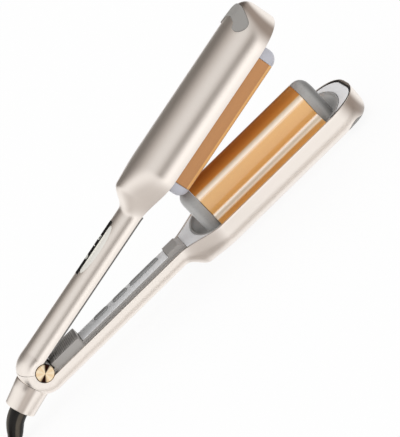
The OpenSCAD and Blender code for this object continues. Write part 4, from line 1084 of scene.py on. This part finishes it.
# Painted shade: brown bands on the collar, by which way its surface faces across the outlet's axis.
painted_shade_bands = collar_coat.rise(around, -0.15, 0.08) * collar_coat.rise(around, 0.55, 0.3)
painted_shade_bands = painted_shade_bands + collar_coat.rise(around, -0.72, -0.96)
ground = collar_coat.blend(flake, CHAMPAGNE, CHAMPAGNE_PALE)
collar_coat.feed(Base_Color=collar_coat.blend(0.55 * painted_shade_bands, ground, PAINTED_SHADE_BROWN),
                 Roughness=0.28 + 0.06 * flake)
collar = turned("collar", collar_profile, outlet)
smooth(collar)
fit(collar, collar_coat, "champagne", "swivel_collar")
ferrule_nylon = speckled("ferrule_nylon", (28, 26, 25), (42, 40, 38), 0.6, (0.35, 0.48), 0.01)
ferrule = turned("ferrule", [
    (5.9, 7.4), (7.35, 7.4), (7.45, 7.5), (7.45, 7.9), (7, 7.9), (7, 9), (7.45, 9), (7.45, 31.3),
    (9.45, 31.3), (9.45, 32.7), (9.25, 32.9), (5.9, 32.9)], outlet)
smooth(ferrule)
fit(ferrule, ferrule_nylon, "swivel_black", "swivel_ferrule")
dress("swivel_clip", "clip", 0.12, steel, "steel")

# ---- Stage ----
# A plain pale floor in the even light of the world. It glows for the camera and for reflections,
# which also meet a dark strip of painted shadow on it, beside the lower barrel, for the casing's
# shadow there.
floor = bpy.data.objects.new("floor", bpy.data.meshes.new("floor"))
floor.data.from_pydata([(-6, -6, 0), (6, -6, 0), (6, 6, 0), (-6, 6, 0)], [], [(0, 1, 2, 3)])
bpy.context.scene.collection.objects.link(floor)
floor_finish = Finish("floor_paint", Roughness=0.9)
floor_finish.feed(Base_Color=paint(248, 248, 248))
seen, mirrored, through = [floor_finish.node("LightPath", out=f"Is {ray} Ray")
                           for ray in ("Camera", "Glossy", "Transmission")]
HANDLE_END, BARREL_START = -0.09, -0.055
along, beside, _ = floor_finish.axes("Object")
middle = floor_finish.rise(along, HANDLE_END, BARREL_START, -0.017, -0.029)
half = floor_finish.rise(along, HANDLE_END, BARREL_START, 0.005, 0.003)
painted_shadow_strip = floor_finish.rise(floor_finish.unsigned(beside - middle) - half, 0, 0.003, 1, 0)
mixed = floor_finish.node("MixShader", {
    0: 0.9 * (seen + through) + mirrored * (1 - painted_shadow_strip),
    1: Shade(floor_finish, floor_finish.surface.outputs[0]),
    2: floor_finish.node("Emission", {"Color": (1, 1, 1, 1), "Strength": 1})})
floor_finish.tree.links.new(mixed.socket, floor_finish.tree.nodes["Material Output"].inputs[0])
wear(floor, floor_finish)


# The studio round the table as reflections show it: a wide soft box in front, a dark gap above it,
# an even ceiling and a dimmer back wall. All else meets an even white.
class Sky(Finish):
    """The world's nodes, made with the same methods as a finish."""

    def __init__(self, world):
        world.use_nodes = True
        self.tree = world.node_tree
        self.surface = self.tree.nodes["Background"]


world = bpy.data.worlds.new("studio")
bpy.context.scene.world = world
sky = Sky(world)
sideways, depth, height = sky.axes("Generated")
climb = sky.node("Math", {0: height, 1: -1 * depth}, operation="ARCTAN2") * (180 / math.pi)
SKY_STRENGTH, SKY_LOW, SKY_SPAN = 2.2, -20, 200
# Brightness by the angle in degrees, up from the front horizon and over to the back
SKY = [(-15, 1.1), (0, 1.3), (15, 1.3), (23, 0.95), (31, 0.5), (38, 0.16), (49, 0.12), (57, 0.46),
       (72, 0.72), (98, 0.72), (112, 0.58), (128, 0.4), (141, 0.17), (150, 0.08), (170, 0.1), (180, 0.5)]
stops = []
for angle, level in SKY:
    pale = min(1, level / 0.7)
    warm = (1, 0.84 + 0.16 * pale, 0.7 + 0.3 * pale)
    stops.append(((angle - SKY_LOW) / SKY_SPAN, (*(level / SKY_STRENGTH * tone for tone in warm), 1)))
ramp = sky.node("ValToRGB", {0: (climb - SKY_LOW) * (1 / SKY_SPAN)}, stops=stops)
end_on = sky.rise(sky.unsigned(sideways), 0.3, 0.55, 0, 0.9)
banded = sky.blend(end_on, ramp, (0.45, 0.45, 0.45, 1))
even = (1 / SKY_STRENGTH,) * 3 + (1,)
sky.feed(Color=sky.blend(sky.node("LightPath", out="Is Glossy Ray"), even, banded))
sky.surface.inputs["Strength"].default_value = SKY_STRENGTH
world.cycles.sampling_method = "NONE"

bpy.context.scene.view_settings.view_transform = "Standard"
